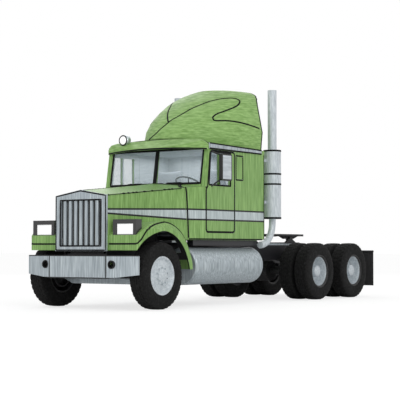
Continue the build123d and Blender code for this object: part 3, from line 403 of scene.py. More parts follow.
def dress(piece, *materials):
    """Gives an object its materials. The faces of a new object keep their material index."""
    if piece.data.materials:
        piece.data.materials.clear()
    for material in materials:
        piece.data.materials.append(bpy.data.materials[material])


for material_name, names in NODE_MATERIALS.items():
    for name in names:
        dress(nodes[name], material_name)


# Mesh helpers


def in_scene(name, data):
    made = bpy.data.objects.new(name, data)
    bpy.context.scene.collection.objects.link(made)
    return made


def new_mesh(name, build):
    """An object from a bmesh that build fills."""
    work = bmesh.new()
    build(work)
    bmesh.ops.recalc_face_normals(work, faces=work.faces)
    mesh = bpy.data.meshes.new(name)
    work.to_mesh(mesh)
    work.free()
    return in_scene(name, mesh)


def shade_smooth(piece, angle):
    """Smooth shading below an angle between faces."""
    work = bmesh.new()
    work.from_mesh(piece.data)
    for face in work.faces:
        face.smooth = True
    for edge in work.edges:
        if len(edge.link_faces) == 2 and edge.calc_face_angle(0) > math.radians(angle):
            edge.smooth = False
    work.to_mesh(piece.data)
    work.free()


def add_piece(name, build, materials, body, place=None, smooth=35):
    """A finished piece: its mesh, moved to its place, with its materials, shading and body."""
    piece = new_mesh(name, build)
    if place is not None:
        piece.data.transform(place)
    dress(piece, *materials)
    if smooth:
        shade_smooth(piece, smooth)
    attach(piece, body)
    return piece


def wall(work, one, two):
    """Faces between two rings of vertices."""
    for index in range(len(one)):
        other = (index + 1) % len(one)
        work.faces.new((one[index], one[other], two[other], two[index]))


# Strips: how far outside a drape starts, how deep they sit in the surface, the share of the width on top
ray_start = 3.0
strip_depth = 0.004
strip_top = 0.8


def surface_tree(names):
    """One search tree over several CAD nodes."""
    work = bmesh.new()
    for name in names:
        work.from_mesh(nodes[name].data)
    tree = BVHTree.FromBMesh(work)
    work.free()
    return tree


def even_path(points, step=0.03, closed=False):
    """Points along a path at about an even step, with its corners kept."""
    points = [Vector(p) for p in points]
    if closed:
        points.append(points[0])
    path = [points[0]]
    for start, end in zip(points, points[1:]):
        count = max(1, round((end - start).length / step))
        path += [start.lerp(end, (index + 1) / count) for index in range(count)]
    return path[:-1] if closed else path


def draped(points, direction, names, step=0.03, closed=False):
    """(point, normal) pairs where rays along a direction meet the CAD nodes."""
    tree = surface_tree(names)
    direction = Vector(direction)
    hits = []
    for point in even_path(points, step, closed):
        hit, normal, _, _ = tree.ray_cast(point - direction * ray_start, direction)
        if hit is not None:
            hits.append((hit, -normal if normal.dot(direction) > 0 else normal))
    return hits


def seated(points, names, step=0.03):
    """(point, normal) pairs on the nearest surface to each point of a path."""
    tree = surface_tree(names)
    return [tree.find_nearest(point)[:2] for point in even_path(points, step)]


def on_edge(points, normal, step=0.05):
    """(point, normal) pairs along an edge whose outward direction is given."""
    normal = Vector(normal).normalized()
    return [(point, normal) for point in even_path(points, step)]


def arc(start, middle, end, steps=16):
    """Points on the circle through three points in a plane."""
    first, second, third = complex(*start), complex(*middle), complex(*end)
    ratio = (third - first) / (second - first)
    centre = first + (second - first) * (ratio - abs(ratio) ** 2) / (2j * ratio.imag)
    spoke = first - centre
    sweep = cmath.phase((second - centre) / spoke) + cmath.phase((third - centre) / (second - centre))
    points = [centre + spoke * cmath.rect(1, sweep * step / steps) for step in range(steps + 1)]
    return [(point.real, point.imag) for point in points]


def smooth_path(points, steps=6):
    """A smooth curve through all of the points."""
    points = [Vector(p) for p in points]
    path = []
    for index in range(len(points) - 1):
        before = points[max(index - 1, 0)]
        start, end = points[index], points[index + 1]
        after = points[min(index + 2, len(points) - 1)]
        for step in range(steps):
            t = step / steps
            path.append(0.5 * (
                2 * start + (end - before) * t + (2 * before - 5 * start + 4 * end - after) * t * t
                + (3 * start - before - 3 * end + after) * t * t * t
            ))
    return path + [points[-1]]


def strip_mesh(work, hits, width, height, closed=False):
    """A low band that follows (point, normal) pairs, sunk a little into the surface."""
    rings = []
    count = len(hits)
    for index, (point, normal) in enumerate(hits):
        before = hits[(index - 1) % count][0] if closed or index else point
        after = hits[(index + 1) % count][0] if closed or index < count - 1 else point
        along = (after - before).normalized()
        across = along.cross(normal).normalized() * (width / 2)
        rise = normal * height
        sunk = normal * -strip_depth
        rings.append([
            work.verts.new(point + across + sunk),
            work.verts.new(point + across * strip_top + rise),
            work.verts.new(point - across * strip_top + rise),
            work.verts.new(point - across + sunk),
        ])
    pairs = list(zip(rings, rings[1:]))
    if closed:
        pairs.append((rings[-1], rings[0]))
    for one, two in pairs:
        wall(work, one, two)
    if not closed:
        work.faces.new(rings[0])
        work.faces.new(rings[-1])


def strips(name, paths, body, width, height=0.003):
    """One black rubber piece made of several bands. Each path is (hits, closed)."""

    def build(work):
        for hits, closed in paths:
            if len(hits) > 2:
                strip_mesh(work, hits, width, height, closed)

    add_piece(name, build, ["seal_rubber"], body)


beside = 1.5


def side_points(outline, side):
    """(station, height) pairs as points beside the truck."""
    return [(at(station), side * beside, height) for station, height in outline]


def rounded(outline, radius, steps=5):
    """A closed outline with its corners rounded."""
    result = []
    count = len(outline)
    for index, corner in enumerate(outline):
        corner = Vector(corner)
        before = Vector(outline[index - 1])
        after = Vector(outline[(index + 1) % count])
        to_before = (before - corner).normalized()
        to_after = (after - corner).normalized()
        start = corner + to_before * radius
        end = corner + to_after * radius
        for step in range(steps + 1):
            share = step / steps
            point = start.lerp(corner, share).lerp(corner.lerp(end, share), share)
            result.append(tuple(point))
    return result


def turned_place(along, radius, segment, segments):
    """A place on a circle round the Y axis."""
    angle = 2 * math.pi * segment / segments
    return radius * math.sin(angle), along, radius * math.cos(angle)


def revolved(work, rows, segments, lift=None):
    """A closed ring round the Y axis. Rows are (distance along Y, radius). lift adds to a radius."""
    rings = []
    for segment in range(segments):
        ring = []
        for row, (along, radius) in enumerate(rows):
            reach = radius + (lift(row, segment) if lift else 0)
            ring.append(work.verts.new(turned_place(along, reach, segment, segments)))
        rings.append(ring)
    for segment in range(segments):
        wall(work, rings[segment], rings[(segment + 1) % segments])


def disc_of(work, rows, segments, black_rows=()):
    """A closed turned body round the Y axis. The faces after a black row get the second material."""
    first = work.verts.new((0, rows[0][0], 0))
    last = work.verts.new((0, rows[-1][0], 0))
    rings = []
    for segment in range(segments):
        rings.append([work.verts.new(turned_place(*row, segment, segments)) for row in rows[1:-1]])
    for segment in range(segments):
        one, two = rings[segment], rings[(segment + 1) % segments]
        made = [work.faces.new((first, two[0], one[0]))]
        for row in range(len(one) - 1):
            made.append(work.faces.new((one[row], two[row], two[row + 1], one[row + 1])))
        made.append(work.faces.new((last, one[-1], two[-1])))
        for row, face in enumerate(made):
            face.material_index = 1 if row in black_rows else 0


# Tyres and rims

tyre_radius = 0.521
tyre_half_width = 0.138
bead_radius = 0.2905
groove_depth = 0.013
tread_crown = 0.35
notch_depth = 0.010
lug_depth = 0.008
tread_segments = 144
front_track = 1.020
dual_outer = 1.080
dual_inner = 0.750
dual_middle = (dual_outer + dual_inner) / 2
flange_half = 0.119
rim_segments = 96
drive_stations = {"fore": -4.718, "aft": -6.020}
# Ribs across half of the tread: start and end, as a distance from the middle
RIBS = ((0.0, 0.018), (0.026, 0.058), (0.066, 0.112))


def tyre_rows():
    """(distance from the middle, radius) rows from one bead over the tread to the other."""
    rows = [(0.118, bead_radius), (0.128, 0.300), (0.134, 0.330), (tyre_half_width, 0.380)]
    rows += [(tyre_half_width, 0.420), (0.135, 0.455), (0.129, 0.485), (0.121, 0.506)]
    floor = tyre_radius - groove_depth
    for start, end in reversed(RIBS):
        rows += [(place, tyre_radius - tread_crown * place * place) for place in (end, start) if place > 0]
        if start > 0:
            rows += [(start - 0.002, floor), (start - 0.006, floor)]
    return rows + [(-along, radius) for along, radius in reversed(rows)]


def tyre_mesh(work, middle, lugs):
    """One tyre with its middle at a distance along Y. Lugs cut the inner ribs too."""
    rows = tyre_rows()
    shoulder, inner = set(), set()
    for row, (along, radius) in enumerate(rows):
        if 0.064 < abs(along) < 0.123 and radius > 0.5:
            shoulder.add(row)
        if abs(along) <= 0.058 and radius > 0.515:
            inner.add(row)

    def lift(row, segment):
        if row in shoulder and segment % 4 == 0:
            return -notch_depth
        if lugs and row in inner and segment % 4 == 2:
            return -lug_depth
        return 0

    revolved(work, [(middle + along, radius) for along, radius in rows], tread_segments, lift)


def rim_front_mesh(work):
    """Steering wheel rim, seen from +Y, with an open barrel and a drum behind its bowed disc."""
    behind = [
        (0.093, 0), (0.093, 0.0455), (0.002, 0.0455), (0.002, 0.112), (0.044, 0.118), (0.050, 0.187),
        (-0.116, 0.187), (-0.116, 0.205), (0.056, 0.206), (0.072, 0.252), (0.060, 0.262), (-0.112, 0.264),
        (-0.126, 0.276), (-0.128, 0.296), (-0.119, 0.299), (-0.116, 0.289),
    ]
    face = [
        (0.116, 0.289), (0.119, 0.299), (0.128, 0.300), (0.131, 0.294), (0.129, 0.284), (0.118, 0.268),
        (0.098, 0.256), (0.090, 0.235), (0.096, 0.200), (0.108, 0.165), (0.114, 0.150), (0.116, 0.112),
        (0.132, 0.106), (0.140, 0.092), (0.144, 0.060), (0.145, 0.030), (0.145, 0),
    ]
    disc_of(work, behind + face, rim_segments, range(len(behind)))


def rim_drive_mesh(work):
    """Twin wheel rim, seen from +Y: deep bowl with the hub standing out of it and a black flange."""
    outer = dual_outer + flange_half - dual_middle
    inner = dual_inner - flange_half - dual_middle
    behind = [
        (0.138, 0), (0.138, 0.0605), (-0.118, 0.0605), (-0.118, 0.112), (-0.030, 0.116), (-0.024, 0.180),
        (-0.030, 0.254), (-0.050, 0.262), (inner + 0.014, 0.264), (inner, 0.276), (inner - 0.006, 0.296),
        (inner, 0.299), (inner + 0.003, 0.289), (outer - 0.003, 0.289), (outer, 0.299),
        (outer + 0.008, 0.300), (outer + 0.012, 0.292), (outer + 0.006, 0.278),
    ]
    face = [
        (-0.014, 0.264), (-0.060, 0.256), (-0.130, 0.250), (-0.190, 0.215), (-0.200, 0.180), (-0.200, 0.140),
        (-0.190, 0.120), (-0.100, 0.112), (-0.050, 0.104), (-0.030, 0.080), (-0.022, 0.040), (-0.021, 0),
    ]
    rows = behind + [(outer + along, radius) for along, radius in face]
    disc_of(work, rows, rim_segments, range(len(behind)))


def nuts_mesh(work, circle, start, length, radius=0.014, count=10):
    """A ring of wheel nuts."""
    for index in range(count):
        middle = turned_place(start + length / 2, circle, index, count)
        turn = Matrix.Rotation(math.radians(90), 4, "X")
        bmesh.ops.create_cone(
            work, cap_ends=True, segments=6, radius1=radius, radius2=radius * 0.8, depth=length,
            matrix=Matrix.Translation(middle) @ turn,
        )


# Materials and slot of a wheel's tyre, rim and nuts
WHEEL_FINISHES = (
    (["tyre_rubber"], "tyre"),
    (["rim_silver", "wheel_black"], "bright_metal"),
    (["polished_metal"], "bright_metal"),
)


def wheel(body, station, side, middle, builds, replaced):
    """Tyre, rim and nuts of one wheel body, built round the Y axis and moved to its axle and side."""
    turn = Matrix.Identity(4) if side > 0 else Matrix.Rotation(math.pi, 4, "Z")
    place = Matrix.Translation((at(station), side * middle, wheel_height)) @ turn
    pieces = []
    for (name, build), (materials, slot) in zip(builds.items(), WHEEL_FINISHES):
        pieces.append(add_piece(name, build, materials, body, place))
    for piece, node in zip(pieces, replaced):
        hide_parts(node)


def front_wheels():
    for name, side in SIDES:
        builds = {
            f"steer_tyre_{name}": lambda work: tyre_mesh(work, 0.0, False),
            f"steer_rim_{name}": rim_front_mesh,
            f"steer_nuts_{name}": lambda work: nuts_mesh(work, 0.132, 0.108, 0.030),
        }
        replaced = (f"front_tyre_{name}", f"front_rim_{name}")
        wheel(f"wheel_front_{name}", 0, side, front_track, builds, replaced)


def twin_tyres(work):
    for track in (dual_outer, dual_inner):
        tyre_mesh(work, track - dual_middle, True)


def drive_wheels():
    for place, station in drive_stations.items():
        for name, side in SIDES:
            builds = {
                f"drive_tyres_{place}_{name}": twin_tyres,
                f"drive_rim_{place}_{name}": rim_drive_mesh,
                f"drive_nuts_{place}_{name}": lambda work: nuts_mesh(work, 0.150, 0.075, 0.035),
            }
            replaced = (f"{place}_tyres_{name}", f"{place}_rim_{name}")
            wheel(f"wheels_{place}_{name}", station, side, dual_middle, builds, replaced)


front_wheels()
drive_wheels()

# Seals, seams and edge lines

DOOR_LINE = [
    (-1.303, 1.213), (-1.303, 1.933), (-1.344, 1.953), (-1.418, 2.548), (-2.127, 2.548), (-2.127, 1.213),
]
WINDOW_LINE = [(-1.382, 1.982), (-1.433, 2.532), (-2.012, 2.532), (-2.012, 1.982)]
DIVIDER_LINE = [(-1.690, 2.0), (-1.690, 2.515)]
VENT_LINE = [(-2.173, 2.095), (-2.173, 2.505), (-2.384, 2.505), (-2.384, 2.095), (-2.173, 2.095)]
# Lower and upper edge of a roof rail: height at its front and at its rear
RAIL_LINES = ((2.583, 2.579), (2.667, 2.639))
cab_half = 1.050
rail_face = 1.064


def mirrored(points, side):
    """(station, y, z) points as places, on the left for side 1 and on the right for side -1."""
    return [(at(station), side * y, z) for station, y, z in points]


def across(half):
    """A path from the left side to the right, from its left half, which ends in the middle."""
    return mirrored(half, 1) + mirrored(half[:-1], -1)[::-1]


def door_seals():
    for name, side in SIDES:
        lines = (
            (rounded(DOOR_LINE, 0.055), 0.03, True),
            (rounded(WINDOW_LINE, 0.01), 0.02, True),
            (DIVIDER_LINE, 0.03, False),
        )
        paths = []
        for line, step, closed in lines:
            hits = draped(side_points(line, side), (0, -side, 0), [f"door_{name}"], step, closed)
            paths.append((hits, closed))
        strips(f"door_seal_{name}", paths, f"door_{name}", 0.031)


def cab_seams():
    """Seal behind the hood, and the edge lines of the cab's sides, vents and roof rails."""
    cowl = [
        (-0.874, 1.04, 1.115), (-0.874, 1.04, 1.6), (-0.874, 1.02, 1.84), (-0.874, 0.99, 1.90),
        (-0.874, 0.93, 1.95), (-0.93, 0.85, 1.97), (-1.02, 0.752, 1.99), (-1.13, 0.65, 2.01),
        (-1.249, 0.565, 2.03), (-1.249, 0.3, 2.05), (-1.249, 0, 2.06),
    ]
    strips("cowl_seal", [(seated(across(cowl), ["cab_front"]), False)], "chassis", 0.036)
    flat_lines = [
        [(station, cab_half, z) for station, z in VENT_LINE],
        [(-3.046, cab_half, 1.09), (-3.046, cab_half, 2.565)],
    ]
    flat_lines += [[(-1.380, rail_face, front), (-2.955, rail_face, rear)] for front, rear in RAIL_LINES]
    paths = []
    for _, side in SIDES:
        for line in flat_lines:
            paths.append((on_edge(mirrored(line, side), (0, side, 0)), False))
        bottom = side_points([(-0.880, 1.094), (-3.05, 1.094)], side)
        paths.append((draped(bottom, (0, -side, 0), ["cab_front", "cab_sides"]), False))
    strips("cab_edge_lines", paths, "chassis", 0.026, 0.002)


def screen_seals():
    ahead = at(-0.5)
    pane = [(0.018, 2.008), (0.018, 2.587), (0.949, 2.587), (0.949, 2.008)]
    paths = []
    for _, side in SIDES:
        outline = [(ahead, side * y, z) for y, z in pane]
        paths.append((draped(outline, (-1, 0, 0), ["cab_front"], closed=True), True))
    middle = draped([(ahead, 0, 2.008), (ahead, 0, 2.585)], (-1, 0, 0), ["cab_front"])
    strips("windshield_seal", paths, "chassis", 0.042)
    strips("windshield_divider", [(middle, False)], "chassis", 0.050, 0.005)


def hood_seams():
    """Lines along the fenders, the hood's shoulders, its ridge and its rear edge, and round the grille."""
    fender = [
        (0.57, 0.530, 1.011), (0.57, 0.747, 1.011), (0.56, 1.05, 1.012), (0.53, 1.10, 1.03),
        (0.475, 1.12, 1.079), (0.386, 1.145, 1.205), (0.292, 1.145, 1.283), (0.163, 1.14, 1.327),
        (0.024, 1.135, 1.351),
    ]
    crease = arc((-0.100, 1.354), (-0.370, 1.280), (-0.600, 1.145))
    crease += arc((-0.600, 1.145), (-0.735, 0.965), (-0.805, 0.760))
    fender += [(station, 1.13, z + 0.02) for station, z in crease]
    shoulder = [(0.556, 0.52, 1.775), (0.161, 0.642, 1.815), (-0.39, 0.807, 1.873), (-0.79, 0.925, 1.918)]
    rear = [
        (-0.842, 0.89, 1.95), (-0.90, 0.82, 1.97), (-0.985, 0.735, 1.99), (-1.10, 0.635, 2.01),
        (-1.213, 0.55, 2.03), (-1.213, 0.3, 2.05), (-1.213, 0, 2.06),
    ]
    hood = ["hood"]
    paths = [(seated(mirrored(line, side), hood), False) for _, side in SIDES for line in (fender, shoulder)]
    ridge = [(at(0.55), 0, 2.2), (at(-1.2), 0, 2.2)]
    paths.append((draped(ridge, (0, 0, -1), hood), False))
    paths.append((seated(across(rear), hood), False))
    strips("hood_seams", paths, "hood", 0.030)
    grille_face = at(0.602)
    outer = [(-0.503, 0.915), (-0.503, 1.755), (0, 1.836), (0.503, 1.755), (0.503, 0.915), (-0.503, 0.915)]
    inner = [(-0.418, 0.979), (-0.418, 1.693), (0.418, 1.693), (0.418, 0.979), (-0.418, 0.979)]
    paths = []
    for outline in (outer, inner):
        paths.append((on_edge([(grille_face, y, z) for y, z in outline], (1, 0, 0)), False))
    strips("grille_lines", paths, "hood", 0.026, 0.002)


def roof_seams():
    """The curled line on the roof fairing, the fairing's rear edges, and the visor's lip and crown."""
    curl = [
        (-1.598, -0.358, 2.79), (-1.566, -0.154, 2.92), (-1.679, 0.006, 3.094), (-1.847, 0.151, 3.232),
        (-2.055, 0.271, 3.363), (-2.269, 0.388, 3.464), (-2.479, 0.511, 3.531), (-2.67, 0.651, 3.556),
        (-2.729, 0.73, 3.528), (-2.701, 0.776, 3.479), (-2.589, 0.784, 3.401), (-2.379, 0.741, 3.318),
        (-2.177, 0.665, 3.239), (-2.092, 0.645, 3.188), (-2.059, 0.656, 3.152), (-2.07, 0.699, 3.112),
        (-2.262, 0.82, 3.117), (-2.447, 0.906, 3.105), (-2.661, 0.974, 3.075), (-2.953, 1.02, 3.025),
    ]
    rear = [
        (-3.012, 1.03, 2.66), (-3.018, 1.04, 2.81), (-3.018, 1.055, 2.96), (-3.018, 1.02, 3.13),
        (-3.062, 0.95, 3.33), (-3.108, 0.89, 3.48), (-3.162, 0.84, 3.56), (-3.252, 0.76, 3.65),
        (-3.285, 0.65, 3.70),
    ]
    fairing = ["roof_fairing"]
    paths = []
    for _, side in SIDES:
        # On the right the curl starts where the left one crosses the middle
        marks = curl if side > 0 else curl[2:]
        paths.append((seated(smooth_path(mirrored(marks, side)), fairing, 0.02), False))
        paths.append((seated(mirrored(rear, side), fairing), False))
    strips("fairing_lines", paths, "chassis", 0.032)
    lip = []
    for share in (1.0, 0.85, 0.7, 0.55, 0.4, 0.25, 0.12, 0):
        lip.append((-1.130 - 0.205 * share * share, 1.04 * share, 2.600 - 0.028 * share * share))
    crown = [
        (-1.405, 1.055, 2.66), (-1.405, 0.965, 2.73), (-1.405, 0.79, 2.765), (-1.405, 0.5, 2.785),
        (-1.405, 0, 2.80),
    ]
    paths = [(seated(across(half), ["visor"]), False) for half in (lip, crown)]
    strips("visor_lines", paths, "chassis", 0.028, 0.002)


stack_place = (at(-3.360), 1.026)
muffler_radius = 0.155
BAND_HEIGHTS = (1.475, 2.069, 2.248, 2.658)
band_segments = 48


def stack_bands():
    """Clamp bands and end rings round both mufflers."""
    paths = []
    for _, side in SIDES:
        for height in BAND_HEIGHTS:
            middle = Vector((stack_place[0], side * stack_place[1], height))
            hits = []
            for step in range(band_segments):
                angle = 2 * math.pi * step / band_segments
                out = Vector((math.cos(angle), math.sin(angle), 0))
                hits.append((middle + out * muffler_radius, out))
            paths.append((hits, True))
    strips("muffler_bands", paths, "chassis", 0.034, 0.004)


door_seals()
cab_seams()
screen_seals()
hood_seams()
roof_seams()
stack_bands()

# Grille screen and lamps


def loop_of(work, half_x, half_y, z, corner, middle, steps=5):
    """A level rounded rectangle of vertices."""
    ring = []
    for quarter, (sx, sy) in enumerate(((1, 1), (-1, 1), (-1, -1), (1, -1))):
        for step in range(steps + 1):
            angle = math.pi / 2 * (quarter + step / steps)
            ring.append(work.verts.new((
                middle[0] + sx * (half_x - corner) + corner * math.cos(angle),
                middle[1] + sy * (half_y - corner) + corner * math.sin(angle), z,
            )))
    return ring


def lofted(work, levels, middle):
    """A closed body through rounded rectangles. Each level is (z, half length, half width, corner)."""
    rings = [loop_of(work, half_x, half_y, z, corner, middle) for z, half_x, half_y, corner in levels]
    for one, two in zip(rings, rings[1:]):
        wall(work, one, two)
    work.faces.new(rings[0][::-1])
    work.faces.new(rings[-1])


screen_half = 0.405
screen_heights = (0.993, 1.679)
screen_ribs = 54


def grille_screen():
    """Dark mesh behind the bars: a thin slab with fine upright ribs."""
    back, front = at(0.5628), at(0.5650)

    def build(work):
        width = 2 * screen_half / screen_ribs
        for rib in range(screen_ribs):
            low = -screen_half + rib * width
            section = ((back, 0), (back, 1), (front, 0.75), (front, 0.25))
            corners = []
            for x, share in section:
                corners.append([work.verts.new((x, low + width * share, z)) for z in screen_heights])
            lower, upper = zip(*corners)
            wall(work, lower, upper)
            work.faces.new(lower)
            work.faces.new(upper[::-1])

    add_piece("grille_screen", build, ["lamp_housing"], "hood", smooth=0)


lens_middle = (0.825, 1.2375)
lens_half = (0.160, 0.0805)
lens_back, lens_front = at(0.5123), at(0.5135)
lens_columns, lens_rows = 33, 14
lens_crown = 0.009
lens_flute = 0.0015


def lens_mesh(work, side):
    """A crowned, fluted lens with a flat back."""
    front = []
    for column in range(lens_columns + 1):
        u = 2 * column / lens_columns - 1
        line = []
        for row in range(lens_rows + 1):
            v = 2 * row / lens_rows - 1
            crown = lens_crown * (1 - u ** 6) * (1 - v ** 6)
            flute = lens_flute * (column % 2) * (abs(u) < 0.97)
            y = side * (lens_middle[0] + lens_half[0] * u)
            z = lens_middle[1] + lens_half[1] * v
            line.append(work.verts.new((lens_front + crown + flute, y, z)))
        front.append(line)
    for one, two in zip(front, front[1:]):
        for row in range(lens_rows):
            work.faces.new((one[row], two[row], two[row + 1], one[row + 1]))
    edge = [line[0] for line in front] + front[-1][1:] + [line[-1] for line in front[-2::-1]]
    edge += front[0][-2:0:-1]
    back = [work.verts.new((lens_back, vertex.co.y, vertex.co.z)) for vertex in edge]
    wall(work, edge, back)
    work.faces.new(back)


def headlamp_lenses():
    """White lenses inside the recessed lamp frames."""
    for name, side in SIDES:
        add_piece(
            f"headlamp_lens_{name}", lambda work: lens_mesh(work, side), ["lamp_lens"], "hood",
            smooth=25,
        )


def roof_lamp_lens():
    """Domed lens and its black ring on the front of the roof lamp."""
    place = Matrix.Translation((at(-1.270), -0.667, 2.785)) @ Matrix.Rotation(math.radians(-90), 4, "Z")
    dome = [(0.001, 0), (0.001, 0.070), (0.004, 0.069), (0.009, 0.055), (0.012, 0.030), (0.013, 0)]
    ring = [(0.0005, 0.071), (0.0005, 0.091), (0.006, 0.088), (0.008, 0.080), (0.006, 0.072)]
    for name, make, rows, material in (
        ("roof_lamp_lens", disc_of, dome, "lamp_lens"), ("roof_lamp_ring", revolved, ring, "seal_rubber"),
    ):
        add_piece(name, lambda work: make(work, rows, 48), [material], "chassis", place)


grille_screen()
headlamp_lenses()
roof_lamp_lens()

# Steering wheel, gauges and seats


def tube(work, path, radius, sides=10):
    """A round bar along a path, closed at both ends."""
    rings = []
    for index, point in enumerate(path):
        before, after = path[max(index - 1, 0)], path[min(index + 1, len(path) - 1)]
        along = (after - before).normalized()
        one = along.orthogonal().normalized()
        other = along.cross(one)
        ring = []
        for k in range(sides):
            angle = 2 * math.pi * k / sides
            out = one * math.cos(angle) + other * math.sin(angle)
            ring.append(work.verts.new(point + out * radius))
        rings.append(ring)
    for one, two in zip(rings, rings[1:]):
        wall(work, one, two)
    work.faces.new(rings[0])
    work.faces.new(rings[-1])


driver_side = 0.455
wheel_ring = 0.225
wheel_grip = 0.014
spoke_steps = 6
spoke_start = 0.030
spoke_length = 0.190
spoke_dip = 0.012
gauge_gap = 0.13


def steering_wheel():
    """Rim, three spokes, hub and column, built round the Y axis and leant back towards the driver."""

    def build(work):
        revolved(work, [
            (wheel_grip * math.sin(math.pi * k / 6), wheel_ring + wheel_grip * math.cos(math.pi * k / 6))
            for k in range(12)
        ], 64)
        for spoke in range(3):
            out = Vector(turned_place(0, 1, spoke, 3))
            points = []
            for k in range(spoke_steps + 1):
                share = k / spoke_steps
                dip = Vector((0, -spoke_dip * (1 - share), 0))
                points.append(out * (spoke_start + spoke_length * share) + dip)
            tube(work, points, 0.011)
        hub = [(-0.030, 0), (-0.030, 0.030), (-0.020, 0.038), (0.004, 0.039), (0.012, 0.030), (0.014, 0)]
        column = [(-0.295, 0), (-0.295, 0.027), (-0.060, 0.027), (-0.032, 0.020), (-0.028, 0)]
        disc_of(work, hub, 32)
        disc_of(work, column, 24)

    back = Vector((-0.5, 0, math.sqrt(0.75)))
    ahead = Vector((0, 1, 0)).cross(back)
    turn = Matrix((ahead, back, Vector((0, -1, 0)))).transposed().to_4x4()
    place = Matrix.Translation((at(-1.640), driver_side, 2.020)) @ turn
    piece = add_piece("steering_wheel_rim", build, ["grained_plastic"], "chassis", place)
    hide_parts("steering_wheel")


def gauges():
    """Three dials with bright rings at the dashboard's rear face."""
    dial = [(0.0005, 0), (0.0005, 0.052), (0.010, 0.050), (0.010, 0.044), (0.004, 0.042), (0.004, 0)]

    def build(work):
        for offset in (-gauge_gap, 0.0, gauge_gap):
            start = len(work.verts)
            disc_of(work, dial, 32)
            work.verts.ensure_lookup_table()
            bmesh.ops.translate(work, verts=work.verts[start:], vec=(offset, 0, 0))

    lean = math.atan2(0.040, 0.225)
    turn = Matrix.Rotation(-lean, 4, "Y") @ Matrix.Rotation(math.radians(90), 4, "Z")
    place = Matrix.Translation((at(-1.4225), driver_side, 1.80)) @ turn
    add_piece("gauge_dials", build, ["polished_metal"], "chassis", place)


# Pads: how far the sides draw in, the share of the depth below the border, and the channels' width and depth
side_draw = 0.035
below_border = 0.40
channel_width = 0.009
channel_depth = 0.012


def pad_heights(u, v, size, channels):
    """Heights of a pad's top and underside. u and v run from -1 to 1 over its length and width."""
    length, _, depth = size
    edge = max(0.0, (1 - abs(u) ** 6) * (1 - abs(v) ** 6)) ** 0.45
    crown = 0.80 + 0.20 * (1 - u * u) * (1 - v * v)
    groove = sum(math.exp(-(((u - channel) * length / 2) / channel_width) ** 2) for channel in channels)
    groove *= 1 - abs(v) ** 8
    rise = depth * (1 - below_border) * edge * crown - channel_depth * groove * edge
    flat = max(0.0, (1 - abs(u) ** 10) * (1 - abs(v) ** 10)) ** 0.4
    border = depth * below_border
    return border + rise, border * (1 - flat)


def pad_mesh(work, size, channels, counts):
    """A stuffed pad, lying flat: crowned top, sides drawn in between the corners, channels across it."""
    nx, ny = counts
    length, width, _ = size
    top, bottom = [], []
    for i in range(nx + 1):
        u = math.sin(math.pi / 2 * (2 * i / nx - 1))
        top_line, bottom_line = [], []
        for j in range(ny + 1):
            v = math.sin(math.pi / 2 * (2 * j / ny - 1))
            x = length / 2 * u * (1 - side_draw * (1 - v * v))
            y = width / 2 * v * (1 - side_draw * (1 - u * u))
            above, below = pad_heights(u, v, size, channels)
            top_line.append(work.verts.new((x, y, above)))
            on_border = i in (0, nx) or j in (0, ny)
            bottom_line.append(top_line[-1] if on_border else work.verts.new((x, y, below)))
        top.append(top_line)
        bottom.append(bottom_line)
    for i in range(nx):
        for j in range(ny):
            work.faces.new((top[i][j], top[i + 1][j], top[i + 1][j + 1], top[i][j + 1]))
            work.faces.new((bottom[i][j + 1], bottom[i + 1][j + 1], bottom[i + 1][j], bottom[i][j]))


def pad(name, size, place, lean, channels, counts):
    """A pad and its placing: lean is the turn about Y that lifts it from lying flat."""

    def build(work):
        pad_mesh(work, size, channels, counts)

    turned = Matrix.Translation(place) @ Matrix.Rotation(lean, 4, "Y")
    piece = add_piece(name, build, ["woven_fabric"], "chassis", turned, smooth=60)
    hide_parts("seats")


def stand(name, levels, station, y):
    """A stiff base under a pad."""

    def build(work):
        lofted(work, levels, (at(station), y))

    piece = add_piece(name, build, ["grained_plastic"], "chassis")
    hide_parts("seats")


# Bases from the floor up: height, half length, half width and corner
SEAT_LEVELS = [(z, half, half, 0.03) for z, half in (
    (1.1405, 0.21), (1.165, 0.21), (1.175, 0.17), (1.22, 0.19), (1.25, 0.165), (1.29, 0.19),
    (1.32, 0.165), (1.36, 0.19), (1.39, 0.17), (1.41, 0.215), (1.478, 0.218),
)]
BUNK_LEVELS = [
    (1.1405, 0.283, 0.973, 0.01), (1.16, 0.288, 0.978, 0.01), (1.20, 0.288, 0.978, 0.01),
    (1.205, 0.280, 0.970, 0.01), (1.45, 0.280, 0.970, 0.01), (1.455, 0.288, 0.978, 0.01),
    (1.488, 0.288, 0.978, 0.01),
]
seat_side = 0.480
bunk_station = -2.720
EVEN_CHANNELS = (-0.5, 0.0, 0.5)
BACK_CHANNELS = (-0.55, -0.15, 0.25, 0.62)
back_lean = -math.atan2(0.725, -0.095)


def seats():
    for name, side in SIDES:
        y = side * seat_side
        stand(f"seat_stand_{name}", SEAT_LEVELS, -2.030, y)
        cushion = (0.515, 0.515, 0.118)
        pad(f"seat_cushion_{name}", cushion, (at(-1.990), y, 1.4805), 0.0, EVEN_CHANNELS, (44, 30))
        back = (0.700, 0.495, 0.098)
        pad(f"seat_back_{name}", back, (at(-2.292), y, 1.962), back_lean, BACK_CHANNELS, (54, 30))
    stand("bunk_chest", BUNK_LEVELS, bunk_station, 0)
    pad("bunk_mattress", (0.575, 1.955, 0.148), (at(bunk_station), 0, 1.4905), 0.0, EVEN_CHANNELS, (40, 64))


steering_wheel()
gauges()
seats()

# Floor, light and camera

floor_glow = 1.15
floor_glow_share = 0.62
room_level = 0.72
cabin_power = 14
LAMPS = (
    # name, place, size, watts
    ("key", (12, 17, 12), 10, 1000),
    ("front", (22, -4, 6), 9, 350),
    ("back", (-14, -12, 11), 9, 400),
)


